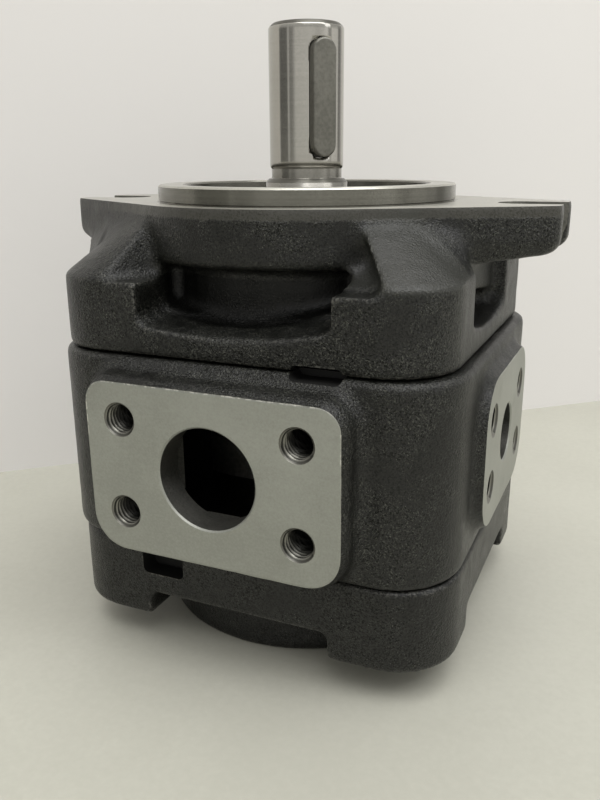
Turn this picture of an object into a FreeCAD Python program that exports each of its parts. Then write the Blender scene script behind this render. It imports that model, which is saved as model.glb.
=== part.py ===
import FreeCAD, Part
import math
import os

# Internal gear pump with a crescent filler, two-bolt mounting flange and keyed shaft.
# Millimetres. The origin is on the shaft axis in the plane of the mounting face,
# +Z runs out along the shaft, -Y faces the suction port and +X the pressure port.

# Mounting flange and pilot, two-bolt size B
pilot_r = 50.8
pilot_height = 5.5
pilot_chamfer = 0.9
pilot_recess_r = 42.0
pilot_recess_depth = 4.0
bolt_spacing = 146.0
bolt_slot_width = 14.3
ear_margin = 14.0
ear_half_width = 15.0
ear_thickness = 14.5
ear_corner_r = 5.0
ear_lower_round = 4.5
flange_r = 58.5
flange_thickness = 17.5
flange_lower_round = 2.5

# Stack of castings along the shaft
front_cover_height = 44.0
rear_plate_thickness = 19.0
foot_height = 28.0
rear_boss_height = 39.0
rear_boss_r = 52.5
rear_boss_chamfer = 1.0

# Plan size of the castings
cover_corner_r = 21.0
cover_right_proud = 1.8
body_proud = 1.5
pressure_side_proud = 5.0
body_edge_round = 2.5
cover_edge_round = 1.5

# Cast pockets between the flange and the base of the front cover
neck_r = 47.0
corner_boss_drop = 4.2
pocket_left = 28.5
pocket_right = 34.5
side_pocket_front = 30.0
side_pocket_back = 20.0
pocket_floor_r = 90.0
pocket_floor_rise = 6.7
pocket_floor_tilt = 8.0
web_root_half = 31.0
web_root_depth = 12.0
web_head_inset = 1.0
web_top = 4.4
right_web_foot = 49.2
right_web_return = 44.0
right_web_head = (36.5, 60.5)
right_web_rise = 2.5
left_web_foot = 40.3
left_web_return = 28.5
left_web_head = (33.4, 63.3)
left_web_rise = 0.5
side_wall_x = 62.0
side_wall_y = (-29.0, 25.5)
side_wall_depth = (24.4, 30.8)
gusset_head_x = 60.5
gusset_tip = (79.0, 12.4)
gusset_foot_y = 42.5
gusset_root = (57.0, 21.0)
gusset_sink = 1.4

# Feet and pry slots
foot_left = 30.0
foot_right = 33.8
foot_side = 31.0
pry_slot_depth = 7.0
pry_slot_corner_r = 2.0
front_pry_x = 30.5
front_pry_width = 16.2
front_pry_height = 4.4
rear_pry_x = 24.4
rear_pry_width = 15.5
rear_pry_height = 11.7

# Ports, four-bolt split-flange sizes
suction_bore_r = 16.0
suction_spacing_x = 58.7
suction_spacing_z = 30.2
suction_port_drop = 1.0
suction_pad_height = 9.1
suction_pad_left = 41.2
suction_pad_right = 42.4
suction_pad_half_z = 27.4
suction_pad_drop = 1.6
suction_pad_upper_r = 7.0
suction_pad_lower_r = 11.0
suction_bore_depth = 10.2
suction_window_half = 13.6
pressure_bore_r = 9.75
pressure_spacing_y = 47.6
pressure_spacing_z = 22.2
pressure_pad_height = 3.4
pressure_pad_half_y = 35.5
pressure_pad_half_z = 24.5
pressure_pad_corner_r = 14.0
pad_draft = 1.8
pad_root = 12.0
pad_root_round = 2.0
port_screw_r = 4.25
port_screw_mouth_r = 5.2
port_screw_depth = 22.0
port_edge_chamfer = 0.5

# Gear set
module = 3.5
pinion_teeth = 13
ring_teeth = 19
pressure_angle = 25.0
tip_factor = 0.9
ring_tip_factor = 0.6
tooth_backlash = 0.24
root_clearance = 0.4
gear_width = 43.0
ring_rim = 7.7
mesh_angle = -45.0
ring_hole_r = 3.5
running_clearance = 0.05
face_clearance = 0.05

# Shaft
shaft_r = 12.5
shaft_length = 55.6
shaft_tip_chamfer = 1.2
undercut_depth = 0.5
undercut_start = 7.1
undercut_width = 3.7
journal_r = 15.0
seal_journal_step = 1.0
seal_journal_chamfer = 1.0
journal_shoulder_gap = 0.5
key_width = 8.0
key_height = 7.0
key_slot_depth = 4.0
key_slot_extra = 0.5
key_undercut_gap = 3.2
key_tip_gap = 5.6
key_angle = -43.5

# Bearings and shaft seal
bush_wall = 2.5
bush_seal_gap = 2.0
rear_bore_floor = 4.0
journal_end_gap = 4.0
bush_end_gap = 2.0
seal_r = 23.5
seal_height = 8.0
seal_seat_depth = 17.0
seal_wall = 1.6
seal_spring_r = 0.9
retaining_ring_thickness = 1.5
retaining_ring_width = 2.6
retaining_groove_depth = 0.9
retaining_gap_angle = 16.0
retaining_turn_angle = 90.0
retaining_lug_r = 2.6
retaining_lug_hole_r = 1.0
seal_lip_reach = 5.4
seal_lip_thickness = 1.9

# Filler between the gears
filler_clearance = 0.08
filler_lead_angle = 85.0
filler_split_gap = 0.1
roller_r = 1.75
roller_angles = (60.0, 30.0)
spring_angles = (51.0, 39.0)
spring_thickness = 0.4
spring_end_gap = 4.0
spring_end_slack = 0.6
stop_pin_r = 4.0
stop_pin_seat = 6.0
stop_pin_gap = 0.35

# Axial discs and static seals
disc_thickness = 9.9
disc_clearance = 0.05
field_seal_width = 2.4
field_seal_height = 1.8
field_wall = 0.85
field_edge = 4.0
field_angles = (160.0, 10.0)
joint_ring_wall = 2.25
joint_ring_width = 2.8
joint_ring_height = 2.0
joint_groove_spare = 0.4
squeeze_gap = 0.02

# Fasteners
screw_wall = 3.6
screw_edge = 15.0
screw_r = 6.0
screw_hole_r = 6.6
screw_engagement = 16.0
screw_hole_spare = 2.0
screw_head_r = 9.0
screw_head_height = 12.0
screw_head_chamfer = 0.8
screw_socket_width = 10.0
screw_socket_depth = 6.0
screw_seat_height = 11.0
screw_thread_slack = 0.05
counterbore_slack = 0.5
dowel_r = 3.0
dowel_length = 12.0
dowel_edge = 9.0
dowel_from_screw = 14.0

# Chambers round the ring gear
chamber_margin = 5.5
suction_chamber_depth = 11.5
suction_chamber_angles = (-105.0, -17.0)
pressure_chamber_depth = 9.5
pressure_chamber_angles = (17.0, 105.0)

# How far a cut runs past the face that it opens, and how closely a level is met
over_cut = 1.0
level_tolerance = 1e-3

# Levels worked out from the stack
body_height = gear_width + 2 * (disc_thickness + face_clearance + disc_clearance)
front_split = -front_cover_height
rear_split = front_split - body_height
gear_middle = (front_split + rear_split) / 2
gear_top = gear_middle + gear_width / 2
gear_bottom = gear_middle - gear_width / 2
suction_level = gear_middle - suction_port_drop
foot_bottom = rear_split - foot_height
plate_bottom = rear_split - rear_plate_thickness
boss_bottom = rear_split - rear_boss_height
seal_seat = -seal_seat_depth
recess_floor = -pilot_recess_depth
boss_top = -flange_thickness - corner_boss_drop
pocket_floor_low = front_split + pocket_floor_rise
chamber_bottom = gear_bottom + chamber_margin
chamber_top = gear_top - chamber_margin

# Gear radii
pinion_pitch_r = module * pinion_teeth / 2
ring_pitch_r = module * ring_teeth / 2
centre_distance = ring_pitch_r - pinion_pitch_r
pinion_tip_r = pinion_pitch_r + tip_factor * module
ring_tip_r = ring_pitch_r - ring_tip_factor * module
pinion_root_r = pinion_pitch_r - ring_tip_factor * module - root_clearance
ring_root_r = pinion_tip_r + centre_distance + root_clearance
ring_x = -centre_distance * math.cos(math.radians(mesh_angle))
ring_y = -centre_distance * math.sin(math.radians(mesh_angle))
ring_r = ring_root_r + ring_rim
ring_bore_r = ring_r + running_clearance
crescent_angle = mesh_angle + 180
stop_pin_distance = (pinion_tip_r + centre_distance + ring_tip_r) / 2
filler_start = crescent_angle - filler_lead_angle
filler_end = crescent_angle - math.degrees(math.asin((stop_pin_r + stop_pin_gap) / stop_pin_distance))

# Shaft and bearings worked out
seal_journal_r = journal_r - seal_journal_step
undercut_r = shaft_r - undercut_depth
undercut_end = undercut_start + undercut_width
key_start = undercut_end + key_undercut_gap
key_length = shaft_length - key_start - key_tip_gap
bush_r = journal_r + bush_wall
front_bush_length = front_cover_height - seal_seat_depth - bush_seal_gap
rear_bore_depth = rear_boss_height - rear_bore_floor
rear_journal_length = rear_bore_depth - journal_end_gap
rear_bush_length = rear_journal_length - bush_end_gap

# Plan places worked out from the gear set outwards
groove_half = (joint_ring_width + joint_groove_spare) / 2
joint_ring_r = ring_bore_r + joint_ring_wall + groove_half
field_inner_r = centre_distance + journal_r + 3 * running_clearance + field_wall
field_outer_r = ring_r - field_edge
screw_offset = (centre_distance + joint_ring_r + groove_half + screw_wall + screw_hole_r) / math.sqrt(2)
dowel_y = screw_offset - dowel_from_screw
cover_half = screw_offset + screw_edge
cover_right = cover_half + cover_right_proud
dowel_x = cover_half - dowel_edge
body_left = cover_half + body_proud
body_right = cover_half + pressure_side_proud
body_half_depth = cover_half + body_proud
body_corner_r = cover_corner_r + body_proud
suction_pad_y = body_half_depth + suction_pad_height
pressure_pad_x = body_right + pressure_pad_height
ear_reach = bolt_spacing / 2 + ear_margin


def vec(x, y, z=0.0):
    return FreeCAD.Vector(x, y, z)


def polar(r, degrees, z=0.0, x=0.0, y=0.0):
    a = math.radians(degrees)
    return vec(x + r * math.cos(a), y + r * math.sin(a), z)


def round_bar(r, z0, z1, x=0.0, y=0.0):
    low = min(z0, z1)
    return Part.makeCylinder(r, abs(z1 - z0), vec(x, y, low))


def block(x0, x1, y0, y1, z0, z1):
    return Part.makeBox(x1 - x0, y1 - y0, z1 - z0, vec(x0, y0, z0))


def cross_bar(r, start, direction, length):
    return Part.makeCylinder(r, length, start, direction)


def turned(profile, x=0.0, y=0.0):
    # A profile of (radius, height) points turned about a vertical axis
    points = [vec(x + r, y, z) for r, z in profile]
    face = Part.Face(Part.makePolygon(points + points[:1]))
    return face.revolve(vec(x, y, 0), vec(0, 0, 1), 360)


def sector(r_in, r_out, start, end, z0, z1, x=0.0, y=0.0):
    # Part of a flat ring between two angles
    points = [polar(r, start, z, x, y) for r, z in ((r_in, z0), (r_out, z0), (r_out, z1), (r_in, z1))]
    face = Part.Face(Part.makePolygon(points + points[:1]))
    return face.revolve(vec(x, y, 0), vec(0, 0, 1), end - start)


def rounded_outline(u0, u1, v0, v1, low_r, high_r, place):
    # Rounded rectangle of lines and arcs; place turns (u, v) into a point in space
    share = 1 - math.sqrt(0.5)
    low_k = low_r * share
    high_k = high_r * share
    corners = (
        ((u1, v0 + low_r), (u1 - low_k, v0 + low_k), (u1 - low_r, v0)),
        ((u0 + low_r, v0), (u0 + low_k, v0 + low_k), (u0, v0 + low_r)),
        ((u0, v1 - high_r), (u0 + high_k, v1 - high_k), (u0 + high_r, v1)),
        ((u1 - high_r, v1), (u1 - high_k, v1 - high_k), (u1, v1 - high_r)),
    )
    edges = []
    for i, corner in enumerate(corners):
        first, middle, last = [place(*p) for p in corner]
        edges.append(Part.Arc(first, middle, last).toShape())
        following = place(*corners[(i + 1) % 4][0])
        edges.append(Part.LineSegment(last, following).toShape())
    return Part.Wire(edges)


def rounded_prism(x0, x1, y0, y1, r, z0, z1):
    wire = rounded_outline(x0, x1, y0, y1, r, r, lambda u, v: vec(u, v, z0))
    return Part.Face(wire).extrude(vec(0, 0, z1 - z0))


def at_level(edge, level):
    box = edge.BoundBox
    return abs(box.ZMin - level) < level_tolerance and abs(box.ZMax - level) < level_tolerance


def round_level(shape, level, r):
    # Rounds every edge that lies in the horizontal plane at this level
    return shape.makeFillet(r, [e for e in shape.Edges if at_level(e, level)])


def joined(shapes):
    whole = shapes[0]
    for shape in shapes[1:]:
        whole = whole.fuse(shape)
    return whole.removeSplitter()


def half_turned(shape):
    copy = shape.copy()
    copy.rotate(vec(0, 0), vec(0, 0, 1), 180)
    return copy


def screw_places():
    return [(sx * screw_offset, sy * screw_offset) for sx in (-1, 1) for sy in (-1, 1)]


def dowel_places():
    return [(dowel_x, -dowel_y), (-dowel_x, dowel_y)]


def port_screw_places(spacing_a, spacing_b):
    return [(sa * spacing_a / 2, sb * spacing_b / 2) for sa in (-1, 1) for sb in (-1, 1)]


def flange_outline():
    # Circle with straight flanks that run tangent to it out to the two ears
    reach = math.hypot(ear_reach, ear_half_width)
    touch = math.degrees(math.asin(ear_half_width / reach) + math.acos(flange_r / reach))
    edges = []
    for turn in (0, 180):
        top = polar(flange_r, turn + touch)
        low = polar(flange_r, turn - touch)
        tip = polar(reach, turn + math.degrees(math.asin(ear_half_width / reach)))
        toe = polar(reach, turn - math.degrees(math.asin(ear_half_width / reach)))
        far = polar(flange_r, turn + 180 - touch)
        edges.append(Part.LineSegment(low, toe).toShape())
        edges.append(Part.LineSegment(toe, tip).toShape())
        edges.append(Part.LineSegment(tip, top).toShape())
        edges.append(Part.Arc(top, polar(flange_r, turn + 90), far).toShape())
    return Part.Wire(edges)


def flange_plate():
    plate = Part.Face(flange_outline()).extrude(vec(0, 0, -ear_thickness))
    tall = [e for e in plate.Edges if e.BoundBox.ZLength > ear_thickness / 2]
    plate = plate.makeFillet(ear_corner_r, [e for e in tall if abs(e.BoundBox.XMin) > flange_r])
    plate = round_level(plate, -ear_thickness, ear_lower_round)
    rim = round_bar(flange_r, -ear_thickness / 2, -flange_thickness)
    rim = round_level(rim, -flange_thickness, flange_lower_round)
    return joined([plate, rim])


def flank_line():
    # A point on the flange's straight flank and the slope of the flank in plan
    reach = math.hypot(ear_reach, ear_half_width)
    touch = math.asin(ear_half_width / reach) + math.acos(flange_r / reach)
    start = polar(flange_r, -math.degrees(touch))
    return start, math.cos(touch) / math.sin(touch)


def corner_web(side, edge, foot_x, return_x, head, rise):
    # Sloped web from the flange rim down to the outline of a corner boss, on a low plinth
    middle_x = edge - cover_corner_r
    middle_y = cover_corner_r - cover_half
    low = boss_top + rise
    y_foot = middle_y - math.sqrt(cover_corner_r ** 2 - max(0.0, foot_x - middle_x) ** 2)
    start, slope = flank_line()
    inner, outer = head
    top = [(x, start.y + (x - start.x) * slope) for x in (inner, (inner + outer) / 2, outer)]
    y_return = top[0][1]
    top += [(inner - web_head_inset, -web_root_depth), (inner - web_head_inset, y_return + web_head_inset)]
    foot = [(foot_x, y_foot), (edge, middle_y), (edge, -web_root_half), (return_x, -web_root_depth),
            (return_x, y_return)]
    top = [vec(side * x, y, -web_top) for x, y in top]
    foot = [vec(side * x, y, low) for x, y in foot]
    sweep = math.degrees(math.atan2(y_foot - middle_y, foot_x - middle_x)) / 2
    middle = polar(cover_corner_r, sweep, low, middle_x, middle_y)
    bulge = Part.Arc(foot[0], vec(side * middle.x, middle.y, low), foot[1]).toShape()
    sides = len(foot)
    straight = [Part.LineSegment(foot[i], foot[(i + 1) % sides]).toShape() for i in range(1, sides)]
    lower = Part.Wire([bulge] + straight)
    upper = Part.Wire([Part.LineSegment(top[i], top[(i + 1) % sides]).toShape() for i in range(sides)])
    plinth = Part.Face(lower).extrude(vec(0, 0, -rise - over_cut))
    return Part.makeLoft([lower, upper], True, True).fuse(plinth)


def side_wall():
    # Wall below an ear, with a lower edge that slants down away from the suction side
    front, back = side_wall_y
    high = -ear_thickness / 2
    low_front, low_back = side_wall_depth
    x = neck_r / 2
    corners = [vec(x, front, high), vec(x, back, high), vec(x, back, -low_back), vec(x, front, -low_front)]
    return Part.Face(Part.makePolygon(corners + corners[:1])).extrude(vec(side_wall_x - x, 0, 0))


def ear_gusset():
    # Four-cornered gusset from the side of the left ear down to the corner boss in front of it
    start, slope = flank_line()
    tip_x, tip_depth = gusset_tip
    head_y = start.y + (gusset_head_x - start.x) * slope + gusset_sink
    tip_y = start.y + (tip_x - start.x) * slope + gusset_sink / 2
    low = boss_top - gusset_sink
    head = vec(-gusset_head_x, head_y, -web_top)
    tip = vec(-tip_x, tip_y, -tip_depth)
    foot = vec(-cover_half + gusset_sink / 2, -gusset_foot_y, low)
    root = vec(-gusset_root[0], -gusset_root[1], low)
    faces = []
    for three in ((head, tip, foot), (head, tip, root), (head, foot, root), (tip, foot, root)):
        faces.append(Part.Face(Part.makePolygon(list(three) + [three[0]])))
    return Part.makeSolid(Part.makeShell(faces))


def front_pocket(right, left):
    # Cast pocket with a shallow round floor that falls away outwards
    room = block(-left, right, -2 * cover_half, 0, 2 * front_split, boss_top + over_cut)
    tilt = math.radians(pocket_floor_tilt)
    outward = vec(0, -math.cos(tilt), -math.sin(tilt))
    lowest = vec((right - left) / 2, -cover_half, pocket_floor_low)
    upward = vec(0, -math.sin(tilt), math.cos(tilt))
    start = lowest + upward * pocket_floor_r - outward * 2 * cover_half
    floor = Part.makeCylinder(pocket_floor_r, 4 * cover_half, start, outward)
    return room.common(floor).cut(round_bar(neck_r, 0, 2 * front_split))


def pry_slot(x, width, z0, z1):
    half = width / 2
    y0 = -body_half_depth - over_cut
    y1 = -cover_half + pry_slot_depth
    place = lambda u, v: vec(u, y0, v)
    wire = rounded_outline(x - half, x + half, z0, z1, pry_slot_corner_r, pry_slot_corner_r, place)
    return Part.Face(wire).extrude(vec(0, y1 - y0, 0))


def pry_slots():
    reach = front_pry_height / 2
    front = pry_slot(front_pry_x, front_pry_width, front_split - reach, front_split + reach)
    rear = pry_slot(-rear_pry_x, rear_pry_width, rear_split - rear_pry_height, rear_split + reach)
    return [front, half_turned(front), rear, half_turned(rear)]


def joint_ring(level, width, height):
    r = joint_ring_r
    return turned([(r - width / 2, level), (r + width / 2, level), (r + width / 2, level + height),
                   (r - width / 2, level + height)], ring_x, ring_y)


def front_cover_casting():
    base = rounded_prism(-cover_half, cover_right, -cover_half, cover_half, cover_corner_r,
                         front_split, boss_top)
    base = round_level(base, front_split, cover_edge_round)
    front = front_pocket(pocket_right, pocket_left)
    side = front_pocket(side_pocket_back, side_pocket_front)
    side.rotate(vec(0, 0), vec(0, 0, 1), 90)
    base = base.cut([front, half_turned(front), side, half_turned(side)])
    webs = []
    for near, far in ((cover_right, cover_half), (cover_half, cover_right)):
        pair = [corner_web(1, near, right_web_foot, right_web_return, right_web_head, right_web_rise)]
        pair.append(corner_web(-1, far, left_web_foot, left_web_return, left_web_head, left_web_rise))
        webs += pair if near > far else [half_turned(w) for w in pair]
    neck = round_bar(neck_r, -flange_thickness / 2, front_split)
    pilot = turned([(0, recess_floor), (pilot_r, recess_floor), (pilot_r, pilot_height - pilot_chamfer),
                    (pilot_r - pilot_chamfer, pilot_height), (0, pilot_height)])
    props = [side_wall(), ear_gusset()]
    props += [half_turned(p) for p in props]
    return joined([flange_plate(), pilot, neck, base] + webs + props)


def bolt_slots():
    cuts = []
    for side in (-1, 1):
        x = side * bolt_spacing / 2
        end = side * (ear_reach + over_cut)
        half = bolt_slot_width / 2
        low = -flange_thickness - over_cut
        cuts.append(round_bar(half, low, over_cut, x, 0))
        cuts.append(block(min(x, end), max(x, end), -half, half, low, over_cut))
    return cuts


def front_cover_cuts():
    opened = front_split - over_cut
    cuts = [round_bar(pilot_recess_r, recess_floor, pilot_height + over_cut)]
    cuts.append(round_bar(seal_r, seal_seat, recess_floor + over_cut))
    cuts.append(round_bar(bush_r, opened, seal_seat + over_cut))
    groove = seal_seat + seal_height
    groove_end = groove + retaining_ring_thickness + squeeze_gap
    cuts.append(round_bar(seal_r + retaining_groove_depth, groove, groove_end))
    cuts += bolt_slots()
    screw_end = front_split + screw_engagement + screw_hole_spare
    for x, y in screw_places():
        cuts.append(round_bar(screw_r + screw_thread_slack, opened, screw_end, x, y))
    for x, y in dowel_places():
        cuts.append(round_bar(dowel_r, opened, front_split + dowel_length / 2, x, y))
    cuts.append(stop_pin_bar(opened, front_split + stop_pin_seat, stop_pin_r))
    return cuts + pry_slots()


def front_cover():
    return front_cover_casting().cut(front_cover_cuts()).removeSplitter()


def screw_seat():
    return rear_split - screw_seat_height


def stop_pin_bar(z0, z1, r):
    spot = polar(stop_pin_distance, crescent_angle)
    return round_bar(r, z0, z1, spot.x, spot.y)


def port_pad(left, right, low, high, low_r, high_r, plane, depth, place):
    # Raised pad whose cast skirt widens towards the body and ends at the splits
    wires = []
    for level, spread in ((plane, 0.0), (plane - depth, pad_draft)):
        on_plane = lambda u, v, w=level: place(u, v, w)
        wires.append(rounded_outline(-left - spread, right + spread, low - spread, high + spread,
                                     low_r + spread, high_r + spread, on_plane))
    far = 2 * plane
    return Part.makeLoft(wires, True, True).common(block(-far, far, -far, far, rear_split, front_split))


def pad_root_edges(shape):
    # Where the pads meet the flat front and right sides, clear of the rounds at the splits
    picked = []
    for edge in shape.Edges:
        box = edge.BoundBox
        clear_below = box.ZMin > rear_split + body_edge_round + level_tolerance
        clear_above = box.ZMax < front_split - body_edge_round - level_tolerance
        front = max(abs(box.YMin + body_half_depth), abs(box.YMax + body_half_depth)) < level_tolerance
        right = max(abs(box.XMin - body_right), abs(box.XMax - body_right)) < level_tolerance
        if clear_below and clear_above and (front or right):
            picked.append(edge)
    return picked


def front_place(u, v, w):
    return vec(u, -w, v)


def right_place(u, v, w):
    return vec(w, u, v)


def port_screw_holes(spacing_a, spacing_b, level, plane, place, inward):
    cuts = []
    mouth = port_screw_mouth_r - port_screw_r
    for a, b in port_screw_places(spacing_a, spacing_b):
        spot = place(a, level + b, plane)
        cuts.append(Part.makeCylinder(port_screw_r, port_screw_depth, spot, inward))
        cuts.append(Part.makeCone(port_screw_mouth_r, port_screw_r, mouth, spot, inward))
    return cuts


def port_bore(r, level, plane, depth, place, inward):
    spot = place(0, level, plane)
    bore = Part.makeCylinder(r, depth, spot, inward)
    lip = Part.makeCone(r + port_edge_chamfer, r, port_edge_chamfer, spot, inward)
    return [bore, lip]


def chamber(depth, angles):
    start, end = [mesh_angle + a for a in angles]
    return sector(ring_r - over_cut, ring_r + depth, start, end, chamber_bottom, chamber_top, ring_x, ring_y)


def suction_window():
    y0 = -suction_pad_y + suction_bore_depth
    half = suction_window_half
    return block(-half, half, y0, ring_y - ring_r, chamber_bottom, chamber_top)


def joint_grooves():
    width = joint_ring_width + joint_groove_spare
    height = joint_ring_height + squeeze_gap
    return [joint_ring(front_split - height, width, height), joint_ring(rear_split, width, height)]


def port_cuts():
    front = (suction_level, suction_pad_y)
    right = (gear_middle, pressure_pad_x)
    inward = vec(0, 1, 0)
    sideways = vec(-1, 0, 0)
    deep = pressure_pad_x - ring_x - ring_r
    cuts = port_bore(suction_bore_r, *front, suction_bore_depth, front_place, inward)
    cuts += port_bore(pressure_bore_r, *right, deep, right_place, sideways)
    cuts += port_screw_holes(suction_spacing_x, suction_spacing_z, *front, front_place, inward)
    cuts += port_screw_holes(pressure_spacing_y, pressure_spacing_z, *right, right_place, sideways)
    return cuts


def pump_body():
    body = rounded_prism(-body_left, body_right, -body_half_depth, body_half_depth, body_corner_r,
                         rear_split, front_split)
    body = round_level(body, front_split, body_edge_round)
    body = round_level(body, rear_split, body_edge_round)
    suction_pad = port_pad(suction_pad_left, suction_pad_right,
                           gear_middle - suction_pad_drop - suction_pad_half_z,
                           gear_middle - suction_pad_drop + suction_pad_half_z, suction_pad_lower_r,
                           suction_pad_upper_r, suction_pad_y, suction_pad_height + pad_root, front_place)
    pressure_pad = port_pad(pressure_pad_half_y, pressure_pad_half_y, gear_middle - pressure_pad_half_z,
                            gear_middle + pressure_pad_half_z, pressure_pad_corner_r, pressure_pad_corner_r,
                            pressure_pad_x, pressure_pad_height + pad_root, right_place)
    body = joined([body, suction_pad, pressure_pad])
    body = body.makeFillet(pad_root_round, pad_root_edges(body))
    cuts = [round_bar(ring_bore_r, rear_split - over_cut, front_split + over_cut, ring_x, ring_y)]
    cuts.append(chamber(suction_chamber_depth, suction_chamber_angles))
    cuts.append(chamber(pressure_chamber_depth, pressure_chamber_angles))
    cuts.append(suction_window())
    cuts += port_cuts() + joint_grooves()
    for x, y in screw_places():
        cuts.append(round_bar(screw_hole_r, rear_split - over_cut, front_split + over_cut, x, y))
    for x, y in dowel_places():
        for split in (front_split, rear_split):
            cuts.append(round_bar(dowel_r, split - dowel_length / 2, split + dowel_length / 2, x, y))
    return body.cut(cuts + pry_slots()).removeSplitter()


def rear_cover():
    feet = rounded_prism(-cover_half, body_right, -cover_half, cover_half, cover_corner_r,
                         foot_bottom, rear_split)
    feet = round_level(feet, rear_split, cover_edge_round)
    feet = round_level(feet, foot_bottom, cover_edge_round)
    far = 2 * cover_half
    lower = foot_bottom - over_cut
    upper = rear_split + over_cut
    gaps = [block(-foot_left, foot_right, -far, 0, lower, plate_bottom)]
    gaps.append(half_turned(gaps[0]))
    gaps.append(block(-far, far, -foot_side, foot_side, lower, plate_bottom))
    feet = feet.cut(gaps)
    corner = boss_bottom + rear_boss_chamfer
    boss = turned([(0, screw_seat()), (rear_boss_r, screw_seat()), (rear_boss_r, corner),
                   (rear_boss_r - rear_boss_chamfer, boss_bottom), (0, boss_bottom)])
    cover = joined([feet, boss])
    cuts = [round_bar(bush_r, rear_split - rear_bore_depth, upper)]
    cuts.append(stop_pin_bar(rear_split - stop_pin_seat, upper, stop_pin_r))
    for x, y in screw_places():
        cuts.append(round_bar(screw_hole_r, lower, upper, x, y))
        cuts.append(round_bar(screw_head_r + counterbore_slack, lower, screw_seat(), x, y))
    for x, y in dowel_places():
        cuts.append(round_bar(dowel_r, rear_split - dowel_length / 2, upper, x, y))
    return cover.cut(cuts + pry_slots()).removeSplitter()


def involute(angle):
    return math.tan(angle) - angle


def tooth_outline(teeth, tip_r, root_r, pitch_r, pitch_width, turn, x, y):
    # Outline with involute flanks; used for the pinion and for the spaces of the ring gear
    slope = math.radians(pressure_angle)
    base_r = pitch_r * math.cos(slope)
    start_r = max(root_r, base_r)
    steps = 5
    radii = [start_r + (tip_r - start_r) * i / steps for i in range(steps + 1)]

    def half_angle(r):
        here = math.acos(min(1.0, base_r / r))
        return math.degrees(pitch_width / 2 / pitch_r + involute(slope) - involute(here))

    def flank(centre, side):
        points = [polar(r, centre + side * half_angle(r), 0, x, y) for r in radii]
        curve = Part.BSplineCurve()
        curve.interpolate(points)
        return curve.toShape(), points

    edges = []
    for k in range(teeth):
        centre = turn + 360 * k / teeth
        near, near_points = flank(centre, -1)
        far, far_points = flank(centre, 1)
        half_pitch = 180 / teeth
        root_near = polar(root_r, centre - half_angle(start_r), 0, x, y)
        root_far = polar(root_r, centre + half_angle(start_r), 0, x, y)
        following = polar(root_r, centre + 2 * half_pitch - half_angle(start_r), 0, x, y)
        if start_r > root_r:
            edges.append(Part.LineSegment(root_near, near_points[0]).toShape())
            edges.append(Part.LineSegment(far_points[0], root_far).toShape())
        edges += [near, far]
        edges.append(Part.Arc(near_points[-1], polar(tip_r, centre, 0, x, y), far_points[-1]).toShape())
        edges.append(Part.Arc(root_far, polar(root_r, centre + half_pitch, 0, x, y), following).toShape())
    return Part.Wire(Part.__sortEdges__(edges))


def pinion_shaft():
    width = math.pi * module / 2 - tooth_backlash / 2
    outline = tooth_outline(pinion_teeth, pinion_tip_r, pinion_root_r, pinion_pitch_r, width, mesh_angle,
                            0, 0)
    gear = Part.Face(outline).extrude(vec(0, 0, gear_width))
    gear.translate(vec(0, 0, gear_bottom))
    tail = rear_split - rear_journal_length
    chamfer = seal_journal_chamfer
    shoulder = seal_seat - journal_shoulder_gap
    shaft = turned([
        (0, tail), (journal_r - chamfer, tail), (journal_r, tail + chamfer),
        (journal_r, shoulder), (seal_journal_r, shoulder + chamfer),
        (seal_journal_r, undercut_start - chamfer), (seal_journal_r - chamfer, undercut_start),
        (undercut_r, undercut_start), (undercut_r, undercut_end), (shaft_r, undercut_end),
        (shaft_r, shaft_length - shaft_tip_chamfer), (shaft_r - shaft_tip_chamfer, shaft_length),
        (0, shaft_length),
    ])
    slot = key_blank(key_start - key_slot_extra, key_length + 2 * key_slot_extra, shaft_r - key_slot_depth,
                     shaft_r + key_height)
    return joined([gear, shaft]).cut(slot)


def key_blank(start, length, r_in, r_out):
    # Round-ended bar along the shaft at the key's angle
    half = key_width / 2
    low, high = start + half, start + length - half
    place = lambda u, v: vec(r_in, u, v)
    edges = [
        Part.LineSegment(place(half, low), place(half, high)).toShape(),
        Part.Arc(place(half, high), place(0, high + half), place(-half, high)).toShape(),
        Part.LineSegment(place(-half, high), place(-half, low)).toShape(),
        Part.Arc(place(-half, low), place(0, low - half), place(half, low)).toShape(),
    ]
    bar = Part.Face(Part.Wire(edges)).extrude(vec(r_out - r_in, 0, 0))
    bar.rotate(vec(0, 0), vec(0, 0, 1), key_angle)
    return bar


def shaft_key():
    seat_r = shaft_r - key_slot_depth
    return key_blank(key_start, key_length, seat_r, seat_r + key_height)


def ring_gear():
    width = math.pi * module / 2 + tooth_backlash / 2
    outline = tooth_outline(ring_teeth, ring_root_r, ring_tip_r, ring_pitch_r, width, mesh_angle,
                            ring_x, ring_y)
    spaces = Part.Face(outline).extrude(vec(0, 0, gear_width + 2 * over_cut))
    spaces.translate(vec(0, 0, gear_bottom - over_cut))
    rim = round_bar(ring_r, gear_bottom, gear_top, ring_x, ring_y)
    holes = []
    for k in range(ring_teeth):
        turn = mesh_angle + 360 * k / ring_teeth
        start = polar(ring_pitch_r, turn, gear_middle, ring_x, ring_y)
        holes.append(cross_bar(ring_hole_r, start, polar(1, turn), ring_r))
    return rim.cut([spaces] + holes)


def filler_wedge():
    return sector(pinion_root_r / 2, 2 * ring_r, filler_start, filler_end, gear_bottom, gear_top)


def split_centre():
    return polar(centre_distance / 2, crescent_angle)


def split_r():
    return stop_pin_distance - centre_distance / 2


def roller_spots():
    # Where rays from the shaft axis cross the split between the two filler pieces
    spots = []
    for back in roller_angles:
        along = centre_distance / 2 * math.cos(math.radians(back))
        across = centre_distance / 2 * math.sin(math.radians(back))
        reach = along + math.sqrt(split_r() ** 2 - across ** 2)
        spots.append(polar(reach, crescent_angle - back))
    return spots


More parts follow.
